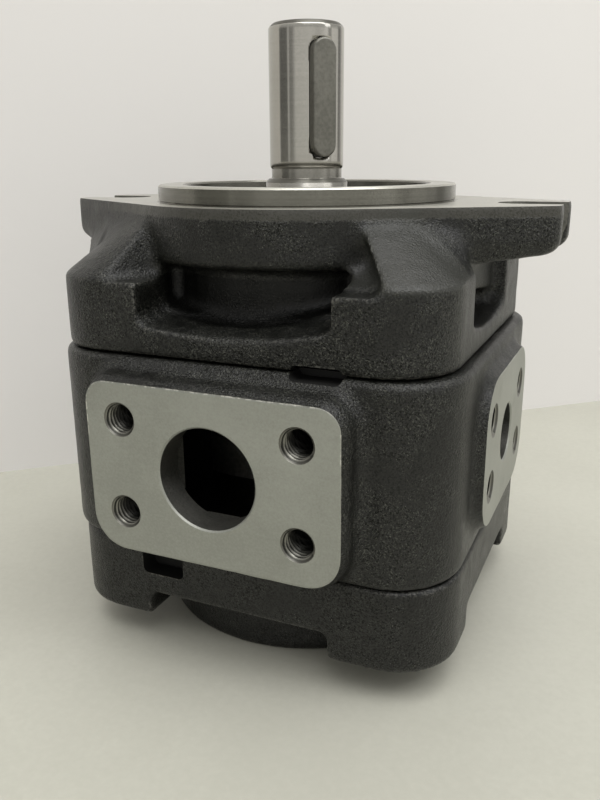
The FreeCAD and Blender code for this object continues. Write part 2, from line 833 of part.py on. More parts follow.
def roller_room(slack):
    return [round_bar(roller_r + slack, gear_bottom, gear_top, p.x, p.y) for p in roller_spots()]


def spring_room(slack, end_slack):
    middle = split_centre()
    outer = split_r() - filler_split_gap / 2
    spare = math.degrees(end_slack / outer)
    start, end = [crescent_angle - a for a in spring_angles]
    return sector(outer - spring_thickness - 2 * slack, outer, start - spare, end + spare,
                  gear_bottom + spring_end_gap, gear_top - spring_end_gap, middle.x, middle.y)


def segment_carrier():
    middle = split_centre()
    full = round_bar(split_r() - filler_split_gap / 2, gear_bottom, gear_top, middle.x, middle.y)
    inner = round_bar(pinion_tip_r + filler_clearance, gear_bottom, gear_top)
    piece = full.cut(inner).common(filler_wedge())
    return piece.cut(roller_room(squeeze_gap) + [spring_room(filler_split_gap, spring_end_slack)])


def outer_segment():
    middle = split_centre()
    full = round_bar(ring_tip_r - filler_clearance, gear_bottom, gear_top, ring_x, ring_y)
    inner = round_bar(split_r() + filler_split_gap / 2, gear_bottom, gear_top, middle.x, middle.y)
    piece = full.cut(inner).common(filler_wedge())
    return piece.cut(roller_room(squeeze_gap))


def sealing_rollers():
    return Part.makeCompound(roller_room(0.0))


def segment_spring():
    return spring_room(0.0, 0.0)


def stop_pin():
    return stop_pin_bar(rear_split - stop_pin_seat, front_split + stop_pin_seat, stop_pin_r)


def field_loop(z0, z1, spare):
    # Closed loop of seal round the pressed side of an axial disc
    w = field_seal_width
    start, end = [crescent_angle - a for a in field_angles]
    outer = sector(field_inner_r - spare, field_outer_r + spare, start, end, z0, z1, ring_x, ring_y)
    margin = math.degrees(w / field_inner_r)
    inner = sector(field_inner_r + w, field_outer_r - w, start + margin, end - margin, z0, z1, ring_x, ring_y)
    return outer.cut(inner)


def axial_disc(z_gear, z_cover):
    disc = round_bar(ring_r, z_gear, z_cover, ring_x, ring_y)
    groove = field_seal_height if z_cover > z_gear else -field_seal_height
    cuts = [round_bar(journal_r + 3 * running_clearance, z_gear, z_cover)]
    cuts.append(stop_pin_bar(z_gear, z_cover, stop_pin_r + running_clearance))
    cuts.append(field_loop(min(z_cover, z_cover - groove), max(z_cover, z_cover - groove), squeeze_gap))
    return disc.cut(cuts)


def disc_levels(side):
    near = gear_middle + side * (gear_width / 2 + face_clearance)
    return near, near + side * disc_thickness


def front_axial_disc():
    return axial_disc(*disc_levels(1))


def rear_axial_disc():
    return axial_disc(*disc_levels(-1))


def disc_seal(side):
    z = disc_levels(side)[1]
    low, high = sorted((z, z - side * (field_seal_height - squeeze_gap)))
    return field_loop(low, high, 0.0)


def front_disc_seal():
    return disc_seal(1)


def rear_disc_seal():
    return disc_seal(-1)


def bush(top, length):
    outer = round_bar(bush_r, top, top - length)
    return outer.cut(round_bar(journal_r + running_clearance, top, top - length))


def front_bearing_bush():
    return bush(front_split + front_bush_length, front_bush_length)


def rear_bearing_bush():
    return bush(rear_split, rear_bush_length)


def shaft_seal():
    top = seal_seat + seal_height
    lip_r = seal_journal_r + running_clearance
    back_r = lip_r + seal_lip_thickness
    neck = lip_r + seal_lip_thickness / 2
    inner = seal_r - seal_wall
    edge = top - seal_lip_reach
    return turned([
        (seal_r, top), (seal_r, seal_seat), (inner, seal_seat), (inner, top - seal_wall),
        (back_r + seal_wall, top - seal_wall), (back_r, edge + seal_wall), (back_r, edge - seal_wall),
        (neck, edge - seal_wall), (lip_r, edge), (neck, edge + seal_lip_thickness), (neck, top),
    ])


def seal_spring():
    lip_back = seal_journal_r + running_clearance + seal_lip_thickness
    spring = Part.makeTorus(lip_back + seal_spring_r, seal_spring_r)
    spring.translate(vec(0, 0, seal_seat + seal_height - seal_lip_reach))
    return spring


def seal_retaining_ring():
    low = seal_seat + seal_height
    high = low + retaining_ring_thickness
    outer = seal_r + retaining_groove_depth
    gap = retaining_gap_angle
    reach = outer - retaining_groove_depth - retaining_ring_width
    turn = retaining_turn_angle
    parts = [sector(reach, outer, turn + gap / 2, turn + 360 - gap / 2, low, high)]
    holes = []
    for side in (-1, 1):
        spot = polar(reach, turn + side * (gap / 2 + math.degrees(retaining_lug_r / reach) / 2))
        parts.append(round_bar(retaining_lug_r, low, high, spot.x, spot.y))
        holes.append(round_bar(retaining_lug_hole_r, low, high, spot.x, spot.y))
    return joined(parts).cut(holes)


def front_joint_ring():
    return joint_ring(front_split - joint_ring_height, joint_ring_width, joint_ring_height)


def rear_joint_ring():
    return joint_ring(rear_split, joint_ring_width, joint_ring_height)


def cover_screw(x, y):
    seat = screw_seat()
    head = round_bar(screw_head_r, seat - screw_head_height, seat, x, y)
    shank = round_bar(screw_r, seat, front_split + screw_engagement, x, y)
    end = seat - screw_head_height
    socket_r = screw_socket_width / math.sqrt(3)
    corners = [polar(socket_r, 60 * k, end, x, y) for k in range(7)]
    socket = Part.Face(Part.makePolygon(corners)).extrude(vec(0, 0, screw_socket_depth))
    head = head.makeChamfer(screw_head_chamfer, [e for e in head.Edges if at_level(e, end)])
    return joined([head, shank]).cut(socket)


def cover_screws():
    return Part.makeCompound([cover_screw(x, y) for x, y in screw_places()])


def dowels(split):
    low = split - dowel_length / 2
    return Part.makeCompound([round_bar(dowel_r, low, low + dowel_length, x, y) for x, y in dowel_places()])


def front_dowel_pins():
    return dowels(front_split)


def rear_dowel_pins():
    return dowels(rear_split)


pieces = (
    front_cover, pump_body, rear_cover, pinion_shaft, shaft_key, ring_gear, segment_carrier, outer_segment,
    sealing_rollers, segment_spring, stop_pin, front_axial_disc, rear_axial_disc, front_disc_seal,
    rear_disc_seal, front_bearing_bush, rear_bearing_bush, shaft_seal, seal_spring, seal_retaining_ring,
    front_joint_ring, rear_joint_ring, cover_screws, front_dowel_pins, rear_dowel_pins,
)

os.makedirs("parts", exist_ok=True)
for piece in pieces:
    shape = piece()
    shape.exportStep("parts/" + piece.__name__ + ".step")
    print(piece.__name__, len(shape.Solids), round(shape.Volume), shape.isValid())
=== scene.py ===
import math

import bmesh
import bpy
from mathutils import Matrix, Vector


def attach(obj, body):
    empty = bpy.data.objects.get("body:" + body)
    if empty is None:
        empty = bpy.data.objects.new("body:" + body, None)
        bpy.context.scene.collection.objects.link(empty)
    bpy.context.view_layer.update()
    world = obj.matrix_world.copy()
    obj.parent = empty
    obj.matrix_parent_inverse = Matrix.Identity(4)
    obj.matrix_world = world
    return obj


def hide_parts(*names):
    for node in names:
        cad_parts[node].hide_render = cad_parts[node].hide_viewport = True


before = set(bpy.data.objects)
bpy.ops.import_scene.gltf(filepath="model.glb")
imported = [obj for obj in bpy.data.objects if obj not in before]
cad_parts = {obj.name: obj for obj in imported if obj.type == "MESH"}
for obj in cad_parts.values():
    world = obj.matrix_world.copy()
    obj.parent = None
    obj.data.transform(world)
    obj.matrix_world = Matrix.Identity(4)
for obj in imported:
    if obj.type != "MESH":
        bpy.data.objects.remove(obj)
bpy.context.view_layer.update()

mm = 0.001
print("frame loaded:", len(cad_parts), "nodes")


def forward(operation):
    return lambda self, other: self.math(operation, self, other)


def reflected(operation):
    return lambda self, other: self.math(operation, other, self)


# Node maths: a wrapped socket whose sums and products add Math nodes
class Channel:
    def __init__(self, graph, socket):
        self.graph = graph
        self.socket = socket

    def math(self, operation, first, second=0.0):
        return self.graph.out("ShaderNodeMath", {"operation": operation}, {0: first, 1: second})

    def call(self, operation, other=0.0):
        return self.math(operation, self, other)

    def __abs__(self):
        return self.call("ABSOLUTE")

    __add__, __radd__ = forward("ADD"), reflected("ADD")
    __sub__, __rsub__ = forward("SUBTRACT"), reflected("SUBTRACT")
    __mul__, __rmul__ = forward("MULTIPLY"), reflected("MULTIPLY")
    __truediv__, __rtruediv__ = forward("DIVIDE"), reflected("DIVIDE")
    __pow__, __rpow__ = forward("POWER"), reflected("POWER")


class Graph:
    def __init__(self, tree):
        self.tree = tree

    def node(self, kind, settings, sockets):
        made = self.tree.nodes.new(kind)
        for key, value in settings.items():
            if key == "stops":
                self.fillRamp(made.color_ramp, value)
            else:
                setattr(made, key, value)
        for key, value in sockets.items():
            if isinstance(value, Channel):
                self.tree.links.new(value.socket, made.inputs[key])
            else:
                made.inputs[key].default_value = value
        return made

    def fillRamp(self, ramp, stops):
        while len(ramp.elements) < len(stops):
            ramp.elements.new(0.5)
        for element, (position, colour) in zip(ramp.elements, stops):
            element.position = position
            element.color = (*colour, 1.0)

    def out(self, kind, settings, sockets, output=0):
        return Channel(self, self.node(kind, settings, sockets).outputs[output])

    def split(self, vector):
        parts = self.node("ShaderNodeSeparateXYZ", {}, {0: vector})
        return [Channel(self, parts.outputs[i]) for i in range(3)]

    def reach(self, vector):
        # Distance from the shaft axis
        x, y = self.split(vector)[:2]
        return (x * x + y * y) ** 0.5

    def blend(self, mask, first, second):
        # Colours are three numbers, and their sockets take the alpha too
        first, second = ((*c, 1.0) if isinstance(c, tuple) else c for c in (first, second))
        return self.out("ShaderNodeMix", {"data_type": "RGBA"}, {0: mask, 6: first, 7: second}, 2)

    def smooth(self, value, low, high, start=0.0, end=1.0):
        sockets = {"Value": value, "From Min": low, "From Max": high, "To Min": start, "To Max": end}
        return self.out("ShaderNodeMapRange", {"interpolation_type": "SMOOTHSTEP"}, sockets, "Result")


class Finish(Graph):
    def __init__(self, name):
        self.material = bpy.data.materials.new(name)
        self.material.use_nodes = True
        super().__init__(self.material.node_tree)
        self.tree.nodes.clear()
        self.place = self.out("ShaderNodeTexCoord", {}, {}, "Object")

    def noise(self, scale, detail=3.0, roughness=0.6, where=None):
        sockets = {"Vector": where or self.place, "Scale": scale, "Detail": detail, "Roughness": roughness}
        return self.out("ShaderNodeTexNoise", {}, sockets, "Fac")

    def cells(self, scale):
        return self.out("ShaderNodeTexVoronoi", {}, {"Vector": self.place, "Scale": scale}, "Distance")

    def stretched(self, scales):
        return self.out("ShaderNodeMapping", {}, {"Vector": self.place, "Scale": scales})

    def axes(self):
        return self.split(self.place)

    def bump(self, height, distance, strength):
        sockets = {"Height": height, "Distance": distance, "Strength": strength}
        return self.out("ShaderNodeBump", {}, sockets)

    def surface(self, sockets):
        shader = self.out("ShaderNodeBsdfPrincipled", {}, sockets)
        self.node("ShaderNodeOutputMaterial", {}, {"Surface": shader})
        return self.material


# Dark sand casting. A pair of numbers is where a soft mask starts and where it is full.
castLook = {
    "dark": (0.0013, 0.0014, 0.0011), "pale": (0.0085, 0.0090, 0.0073), "tone": (0.40, 0.62),
    "wearAndHighlight": (0.150, 0.147, 0.130), "ridge": (0.510, 0.55), "edgePatch": (0.47, 0.58),
    "glintSpeck": (0.68, 0.74), "glintSpeckPatch": (0.47, 0.58),
    "salt": (0.085, 0.087, 0.072), "saltGrain": (0.54, 0.68),
    "pit": (0.47, 0.62), "crust": (0.42, 0.56),
    "grain": 1300.0, "patches": 150.0, "broad": 34.0,
    "grainDepth": 0.30 * mm, "roughness": 0.38, "specular": 0.47,
}
# What only the front cover has: a milled rim, painted shade in the pockets and a paler grey on the right-hand
# webs, as heights and reaches
coverLook = {
    "milled": (0.055, 0.0535, 0.046), "rim": (-3.6 * mm, -2.6 * mm), "rimEnds": (-72.0 * mm, -38.0 * mm),
    "rimFade": 0.25, "rimGrain": 2.2 * mm, "rimDrift": 1.6 * mm,
    "pocketReach": (54.5 * mm, 56.5 * mm), "pocketTop": (-21.5 * mm, -20.5 * mm),
    "pocketShade": 0.8, "pocketMatt": 0.42,
    "webPale": (0.036, 0.037, 0.031), "webReach": (59.0 * mm, 61.0 * mm), "webSide": (36.0 * mm, 38.0 * mm),
    "webFoot": (-21.5 * mm, -19.5 * mm), "webRight": (-10.0 * mm, 10.0 * mm),
}


def milledRim(f, grain, patches):
    # Milled down to a ragged line, and duller towards the left ear
    look = coverLook
    side, up = f.axes()[::2]
    ragged = up + (grain - 0.5) * look["rimGrain"] + (patches - 0.5) * look["rimDrift"]
    fade = f.smooth(side, *look["rimEnds"], look["rimFade"], 1.0)
    return f.smooth(ragged, *look["rim"]) * fade * (0.6 + patches * 0.5)


def pocketShadeMask(f):
    up = f.axes()[2]
    outside = f.smooth(f.reach(f.place), *coverLook["pocketReach"])
    return (1 - outside) * (1 - f.smooth(up, *coverLook["pocketTop"]))


def webMask(f):
    look = coverLook
    side, across, up = f.axes()
    web = f.smooth(f.reach(f.place), *look["webReach"]) * f.smooth(abs(across), *look["webSide"])
    return web * f.smooth(up, *look["webFoot"]) * f.smooth(side, *look["webRight"])


def castIron(name, salting=1.0, cover=False):
    # Glossy grain and matt pits, smoother crusted patches, scuffed edges with a painted highlight, pale salt
    # and bright flecks of painted glint
    look = castLook
    f = Finish(name)
    grain = f.noise(look["grain"])
    lumps = 1 - f.cells(look["grain"]) * 1.25
    broad = f.noise(look["broad"], 4.0)
    patches = f.noise(look["patches"])
    crusted = f.smooth(broad * 0.65 + patches * 0.35, *look["crust"])
    tone = f.smooth(broad * 0.25 + patches * 0.2 + grain * 0.55, *look["tone"])
    # Convex edges, found by pointiness, get a pale colour: partly scuffing, partly a painted highlight
    ridge = f.out("ShaderNodeNewGeometry", {}, {}, "Pointiness")
    edgePatches = f.smooth(f.noise(look["grain"] * 0.9), *look["edgePatch"])
    edge = f.smooth(ridge, *look["ridge"]) * edgePatches
    # Painted glints: sparse bright flecks in the same pale colour, where the patches allow them
    glintSpecks = f.smooth(f.noise(look["grain"] * 2.6, 1.0, 0.5), *look["glintSpeck"])
    glintSpecks = glintSpecks * f.smooth(patches, *look["glintSpeckPatch"])
    wearAndHighlight = (edge * 0.6).call("MAXIMUM", glintSpecks * 0.9)
    pits = f.smooth(f.noise(look["grain"] * 1.25, 2.0, 0.7), *look["pit"]) * (0.30 + crusted * 0.38)
    salt = f.smooth(f.noise(look["grain"] * 1.5, 2.0), *look["saltGrain"])
    salt = salt * (0.15 + crusted * 0.55) * salting
    colour = f.blend(tone, look["dark"], look["pale"])
    colour = f.blend(salt, colour, look["salt"])
    colour = f.blend(wearAndHighlight, colour, look["wearAndHighlight"])
    height = lumps.call("MAXIMUM", 0.0) * 0.25 + f.noise(look["grain"] * 1.35, 2.0, 0.7) * 1.1
    height = height * (0.55 + crusted * 0.6)
    if cover:
        rim = milledRim(f, grain, patches)
        colour = f.blend(rim, colour, coverLook["milled"])
        height = height * (1 - rim * 0.7)
        # Painted shade: the pockets under the flange are darkened towards black and their gloss taken away
        pocket = pocketShadeMask(f)
        colour = f.blend(pocket * coverLook["pocketShade"], colour, look["dark"])
        pits = pits.call("MAXIMUM", pocket * coverLook["pocketMatt"])
        # The webs on the right-hand side are drawn a paler grey, unevenly, and glossier
        web = webMask(f)
        colour = f.blend(web * (0.35 + broad * 0.4), colour, coverLook["webPale"])
        pits = pits * (1 - web * 0.7)
    # A dark metal has hardly any gloss, so the pits look matt
    dull = pits * (1 - wearAndHighlight) * (1 - salt)
    roughness = look["roughness"] + (patches - 0.5) * 0.3 - crusted * 0.06
    normal = f.bump(height, look["grainDepth"], 1.0)
    return f.surface({"Base Color": colour, "Roughness": roughness, "Metallic": dull,
                      "Specular IOR Level": look["specular"], "Normal": normal})


# Outlines of the two milled pads in millimetres, and how far out they stand from the shaft axis
frontPad = {"along": 0, "middle": (0.6, -77.1), "half": (41.8, 27.4), "lowR": 11.0, "highR": 7.0,
            "out": 75.592}
sidePad = {"along": 1, "middle": (0.0, -75.5), "half": (35.5, 24.5), "lowR": 14.0, "highR": 14.0,
           "out": 73.392}
# Their finish: faint brushing, broad stains, a rolled edge round the outline and a painted highlight on its
# upper part
milledLook = {
    "pale": (0.380, 0.388, 0.355), "deep": (0.300, 0.306, 0.276), "tone": (0.33, 0.67),
    "stain": (0.15, 0.147, 0.125), "stained": (0.56, 0.78), "bright": (0.85, 0.84, 0.78),
    "edge": 0.55 * mm, "ragged": 0.5 * mm, "glint": (0.44, 0.60), "glintRise": 20.0 * mm,
    "brushed": 60.0, "crossed": 900.0, "metal": 0.72, "roughness": 0.43, "depth": 0.03 * mm,
}


def padDistance(f, u, v, pad):
    # Signed distance to the rounded outline of a pad, negative inside
    above = v - pad["middle"][1] * mm
    radius = f.smooth(above, -mm, mm, pad["lowR"] * mm, pad["highR"] * mm)
    cornerU = abs(u - pad["middle"][0] * mm) - pad["half"][0] * mm + radius
    cornerV = abs(above) - pad["half"][1] * mm + radius
    outside = (cornerU.call("MAXIMUM", 0.0) ** 2 + cornerV.call("MAXIMUM", 0.0) ** 2) ** 0.5
    return outside + cornerU.call("MAXIMUM", cornerV).call("MINIMUM", 0.0) - radius


def milledFace(name, pad):
    look = milledLook
    f = Finish(name)
    axes = f.axes()
    scales = [look["crossed"]] * 3
    scales[pad["along"]] = look["brushed"]
    lines = f.noise(1.0, where=f.stretched(scales))
    fine = f.noise(1500.0, 3.0, 0.65)
    broad = f.noise(26.0, 4.0)
    stains = f.smooth(f.noise(80.0, 4.0, 0.65), *look["stained"])
    tone = f.smooth(lines * 0.08 + fine * 0.42 + broad * 0.5, *look["tone"])
    colour = f.blend(tone, look["deep"], look["pale"])
    colour = f.blend(stains * 0.18, colour, look["stain"])
    ragged = padDistance(f, axes[pad["along"]], axes[2], pad)
    ragged = ragged + (f.noise(700.0) - 0.5) * look["ragged"]
    rolled = f.smooth(ragged, -look["edge"], 0.0)
    # Painted highlight: the bright colour goes only on the upper part of the rolled edge, which faces up to
    # the lamps
    middle = pad["middle"][1] * mm
    upper = f.smooth(axes[2], middle, middle + look["glintRise"])
    glint = rolled * f.smooth(f.noise(500.0, 2.0), *look["glint"]) * upper
    colour = f.blend(glint * 0.8, colour, look["bright"])
    roughness = look["roughness"] + (fine - 0.5) * 0.16 + stains * 0.06 - rolled * 0.12
    normal = f.bump(lines * 0.1 + fine * 0.5 - rolled * 7.0, look["depth"], 0.7)
    return f.surface({"Base Color": colour, "Metallic": look["metal"], "Roughness": roughness,
                      "Normal": normal})


# Turned metal: its grooves run round the shaft axis and draw every reflection out across them
turnedLook = {"pale": (0.60, 0.59, 0.535), "deep": (0.44, 0.43, 0.385), "tone": (0.34, 0.66),
              "drawn": 0.8, "quarter": 0.25, "grooveDepth": 0.01 * mm, "grooveBump": 0.08}


def turnedFace(name, rings, metal=0.85, rough=0.32, pale=turnedLook["pale"], deep=turnedLook["deep"]):
    look = turnedLook
    f = Finish(name)
    height = f.axes()[2]
    along = f.out("ShaderNodeCombineXYZ", {}, {0: f.reach(f.place) * rings, 1: height * rings})
    lines = f.noise(1.0, 3.0, 0.65, along)
    broad = f.noise(40.0, 4.0)
    fine = f.noise(1500.0, 2.0)
    colour = f.blend(f.smooth(lines * 0.3 + broad * 0.4 + fine * 0.3, *look["tone"]), deep, pale)
    roughness = rough + (lines - 0.5) * 0.08 + (broad - 0.5) * 0.06
    normal = f.bump(lines, look["grooveDepth"], look["grooveBump"])
    return f.surface({"Base Color": colour, "Metallic": metal, "Roughness": roughness, "Normal": normal,
                      "Anisotropic": look["drawn"], "Anisotropic Rotation": look["quarter"]})


def plainFinish(name, pale, deep, metal, rough, grain=700.0):
    f = Finish(name)
    fine = f.noise(grain)
    broad = f.noise(60.0, 4.0)
    colour = f.blend(f.smooth(fine * 0.4 + broad * 0.6, 0.35, 0.65), deep, pale)
    roughness = rough + (fine - 0.5) * 0.2 + (broad - 0.5) * 0.15
    normal = f.bump(fine, 0.03 * mm, 0.5)
    return f.surface({"Base Color": colour, "Metallic": metal, "Roughness": roughness, "Normal": normal})


# A painted highlight on the thread crests near the mouth of a hole, painted shade in the grooves and further
# in
tappedLook = {"mouth": (0.26, 0.255, 0.225), "deep": (0.018, 0.018, 0.016), "metal": 0.85,
              "groove": (0.030, 0.030, 0.026), "crest": (0.47, 0.53), "fade": (0.6 * mm, 7.0 * mm)}


def tappedIron(name):
    look = tappedLook
    f = Finish(name)
    x, y = f.axes()[:2]
    depth = (y + frontPad["out"] * mm).call("MINIMUM", sidePad["out"] * mm - x)
    # Painted highlight on the crests, found by pointiness, against painted shade in the grooves
    crest = f.smooth(f.out("ShaderNodeNewGeometry", {}, {}, "Pointiness"), *look["crest"])
    colour = f.blend(crest, look["groove"], look["mouth"])
    # Painted shade: darker the deeper the point lies inside the pad face
    colour = f.blend(f.smooth(depth, *look["fade"]), colour, look["deep"])
    roughness = 0.30 + f.noise(900.0) * 0.16
    return f.surface({"Base Color": colour, "Metallic": look["metal"], "Roughness": roughness})


finishes = {
    "cover": castIron("coverIron", cover=True),
    "cast": castIron("castIron"),
    "rear": castIron("rearIron", salting=0.35),
    "frontFace": milledFace("milledFront", frontPad),
    "sideFace": milledFace("milledSide", sidePad),
    "mounting": turnedFace("turnedFace", 1500.0),
    "pilot": turnedFace("turnedPilot", 1500.0, metal=0.9, rough=0.24,
                        pale=(0.215, 0.21, 0.187), deep=(0.15, 0.147, 0.128)),
    "bore": turnedFace("turnedBore", 1100.0, metal=0.7, rough=0.42,
                       pale=(0.24, 0.235, 0.21), deep=(0.12, 0.12, 0.105)),
    "port": turnedFace("portBore", 1100.0, metal=0.5, rough=0.5,
                       pale=(0.085, 0.083, 0.073), deep=(0.032, 0.032, 0.028)),
    "shaft": turnedFace("groundSteel", 2600.0, metal=1.0, rough=0.17,
                        pale=(0.47, 0.455, 0.42), deep=(0.40, 0.39, 0.355)),
    "shaftEnd": turnedFace("shaftEnd", 1200.0, metal=0.9, rough=0.38,
                           pale=(0.16, 0.155, 0.135), deep=(0.11, 0.107, 0.094)),
    "collar": turnedFace("shaftCollar", 2600.0, metal=0.95, rough=0.24,
                         pale=(0.36, 0.35, 0.32), deep=(0.27, 0.262, 0.235)),
    "thread": tappedIron("tappedIron"),
    # Painted shade: a near-black, matt finish for the walls of the pry slots, which lie in shade
    "recess": plainFinish("recessIron", (0.0060, 0.0060, 0.0052), (0.0030, 0.0030, 0.0026), 0.0, 0.6),
    # Painted shade: a near-black, fully metallic finish for the gear chambers and the suction window, which
    # lie in shade
    "innerShade": plainFinish("hollowIron", (0.0030, 0.0030, 0.0028), (0.0015, 0.0015, 0.0013), 1.0, 0.6),
    "key": plainFinish("keySteel", (0.225, 0.22, 0.195), (0.145, 0.143, 0.126), 0.9, 0.36, 900.0),
    "gear": plainFinish("gearSteel", (0.34, 0.33, 0.30), (0.18, 0.175, 0.16), 0.9, 0.34),
    "bronze": plainFinish("bronze", (0.42, 0.27, 0.12), (0.27, 0.16, 0.07), 0.9, 0.38),
    "lining": plainFinish("bushLining", (0.30, 0.24, 0.17), (0.19, 0.15, 0.11), 0.6, 0.45),
    "spring": plainFinish("springSteel", (0.20, 0.20, 0.19), (0.10, 0.10, 0.10), 0.9, 0.34),
    "screw": plainFinish("blackSteel", (0.045, 0.045, 0.043), (0.018, 0.018, 0.017), 0.6, 0.42),
    "rubber": plainFinish("sealRubber", (0.026, 0.025, 0.024), (0.013, 0.013, 0.013), 0.0, 0.55),
}
print("finishes made:", len(finishes))

weldGap = {"made": 1e-6, "cad": 2e-6}  # metres; points closer than this are one


# Shapes are (points, faces) in millimetres until they become an object
def solid(name, shape, materials=(), indices=None):
    points, faces = shape
    mesh = bpy.data.meshes.new(name)
    mesh.from_pydata([Vector(p) * mm for p in points], [], faces)
    for material in materials:
        mesh.materials.append(material)
    if indices is not None:
        mesh.polygons.foreach_set("material_index", indices)
    body = bmesh.new()
    body.from_mesh(mesh)
    bmesh.ops.remove_doubles(body, verts=body.verts, dist=weldGap["made"])
    bmesh.ops.recalc_face_normals(body, faces=body.faces)
    body.to_mesh(mesh)
    body.free()
    made = bpy.data.objects.new(name, mesh)
    bpy.context.scene.collection.objects.link(made)
    return made


def lathe(profile, steps=96, x=0.0, y=0.0, place=None, start=0.0, sweep=360.0):
    # Turns a closed profile of (radius, height) points; place turns a point into another frame
    points, faces = [], []
    count = len(profile)
    whole = sweep >= 360.0
    turns = steps if whole else steps + 1
    for k in range(turns):
        a = math.radians(start + sweep * k / steps)
        for r, z in profile:
            p = (x + r * math.cos(a), y + r * math.sin(a), z)
            points.append(place(*p) if place else p)
    for k in range(steps):
        here, after = k * count, ((k + 1) % turns) * count
        for i in range(count):
            j = (i + 1) % count
            if profile[i][0] or profile[j][0]:
                faces.append((here + i, here + j, after + j, after + i))
    if not whole:
        faces.append(list(range(count)))
        faces.append([steps * count + i for i in range(count)][::-1])
    return points, faces


def bar(r, low, high, steps=96, x=0.0, y=0.0):
    return lathe([(0, low), (r, low), (r, high), (0, high)], steps, x, y)


def bars(places, r, low, high, steps=24):
    return [bar(r, low, high, steps, x, y) for x, y in places]


def prism(outline, low, high, place=None):
    points = [(u, v, w) for w in (low, high) for u, v in outline]
    if place:
        points = [place(*p) for p in points]
    n = len(outline)
    faces = [list(range(n))[::-1], list(range(n, 2 * n))]
    faces += [[i, (i + 1) % n, n + (i + 1) % n, n + i] for i in range(n)]
    return points, faces


def stacked(levels, outlineAt, place):
    # Closed shell through outlines with the same number of points; levels are (height, spread)
    points = []
    for height, spread in levels:
        points += [place(u, v, height) for u, v in outlineAt(spread)]
    n = len(points) // len(levels)
    faces = [list(range(n)), list(range(len(points) - n, len(points)))[::-1]]
    for base in range(0, len(points) - n, n):
        faces += [[base + i, base + (i + 1) % n, base + n + (i + 1) % n, base + n + i] for i in range(n)]
    return points, faces


def arc(u, v, r, first, sweep, steps):
    turns = [math.radians(first + sweep * k / steps) for k in range(steps + 1)]
    return [(u + r * math.cos(a), v + r * math.sin(a)) for a in turns]


def roundedOutline(u0, u1, v0, v1, lowR, highR, steps=8):
    low, high = v0 + lowR, v1 - highR
    rounds = ((u1 - lowR, low, lowR), (u1 - highR, high, highR),
              (u0 + highR, high, highR), (u0 + lowR, low, lowR))
    return [p for k in range(4) for p in arc(*rounds[k], 90 * k - 90, 90, steps)]


def turnedTo(side, shape):
    # As given at the front, side 1, or half a turn round at the back, side -1
    points, faces = shape
    return [(side * x, side * y, z) for x, y, z in points], faces


def bothSides(shape):
    return [turnedTo(side, shape) for side in (-1, 1)]


def joinedShapes(shapes):
    points, faces = [], []
    for shapePoints, shapeFaces in shapes:
        base = len(points)
        points += shapePoints
        faces += [[base + i for i in face] for face in shapeFaces]
    return points, faces


def settle(made):
    # Turns an object with modifiers into a plain mesh
    graph = bpy.context.evaluated_depsgraph_get()
    mesh = bpy.data.meshes.new_from_object(made.evaluated_get(graph))
    old = made.data
    made.modifiers.clear()
    made.data = mesh
    bpy.data.meshes.remove(old)


def modify(made, kind, **values):
    added = made.modifiers.new(kind.lower(), kind)
    for key, value in values.items():
        setattr(added, key, value)


def cut(made, cutters, operation="DIFFERENCE"):
    # Each cutter is used up; its faces bring their own finish along
    for cutter in cutters:
        modify(made, "BOOLEAN", operation=operation, object=cutter, solver="MANIFOLD")
        settle(made)
        mesh = cutter.data
        bpy.data.objects.remove(cutter)
        bpy.data.meshes.remove(mesh)


def copyOf(node, name):
    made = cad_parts[node].copy()
    made.data = made.data.copy()
    made.parent = None
    made.name = name
    for key in list(made.keys()):
        del made[key]
    bpy.context.scene.collection.objects.link(made)
    body = bmesh.new()
    body.from_mesh(made.data)
    bmesh.ops.remove_doubles(body, verts=body.verts, dist=weldGap["cad"])
    body.to_mesh(made.data)
    body.free()
    return made


def addShells(made, shape):
    # Adds loose closed shells to a mesh before it is remeshed as one
    points, faces = shape
    body = bmesh.new()
    body.from_mesh(made.data)
    verts = [body.verts.new(Vector(p) * mm) for p in points]
    for face in faces:
        body.faces.new([verts[i] for i in face])
    body.to_mesh(made.data)
    body.free()


def dress(made, looks):
    # Gives a mesh its list of finishes, with the first one all over
    mesh = made.data
    mesh.materials.clear()
    for key in looks:
        mesh.materials.append(finishes[key])
    mesh.polygons.foreach_set("material_index", [0] * len(mesh.polygons))


def toolsFor(looks, look, *shapes):
    # Each leaves one of the piece's finishes on the walls it makes
    materials = [finishes[key] for key in looks]
    return [solid("cutter", shape, materials, [looks.index(look)] * len(shape[1])) for shape in shapes]


def turnedTool(bands, looks, *where):
    # Bands are (finish, points from axis to axis); a wall has the finish of the point it starts from
    shape = lathe([point for look, points in bands for point in points], *where)
    indices = [looks.index(look) for look, points in bands for _ in points][:-1]
    return solid("cutter", shape, [finishes[key] for key in looks], indices * (len(shape[1]) // len(indices)))


def finished(made, node, body, sharpest=32.0):
    mesh = made.data
    mesh.polygons.foreach_set("use_smooth", [True] * len(mesh.polygons))
    mesh.set_sharp_from_angle(angle=math.radians(sharpest))
    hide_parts(node)
    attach(made, body)
    triangles = sum(len(p.vertices) - 2 for p in mesh.polygons)
    print(made.name, len(mesh.polygons), "faces,", triangles, "triangles")


# How a casting is made from a copy of its solid. Lengths in metres.
castMesh = {"voxel": 0.85 * mm, "fillet": 2.0 * mm, "smoothing": 0.5, "rounds": 2, "triangles": 165000,
            "waveDepth": 0.22 * mm, "waveSize": 9.0 * mm, "waveDetail": 2}


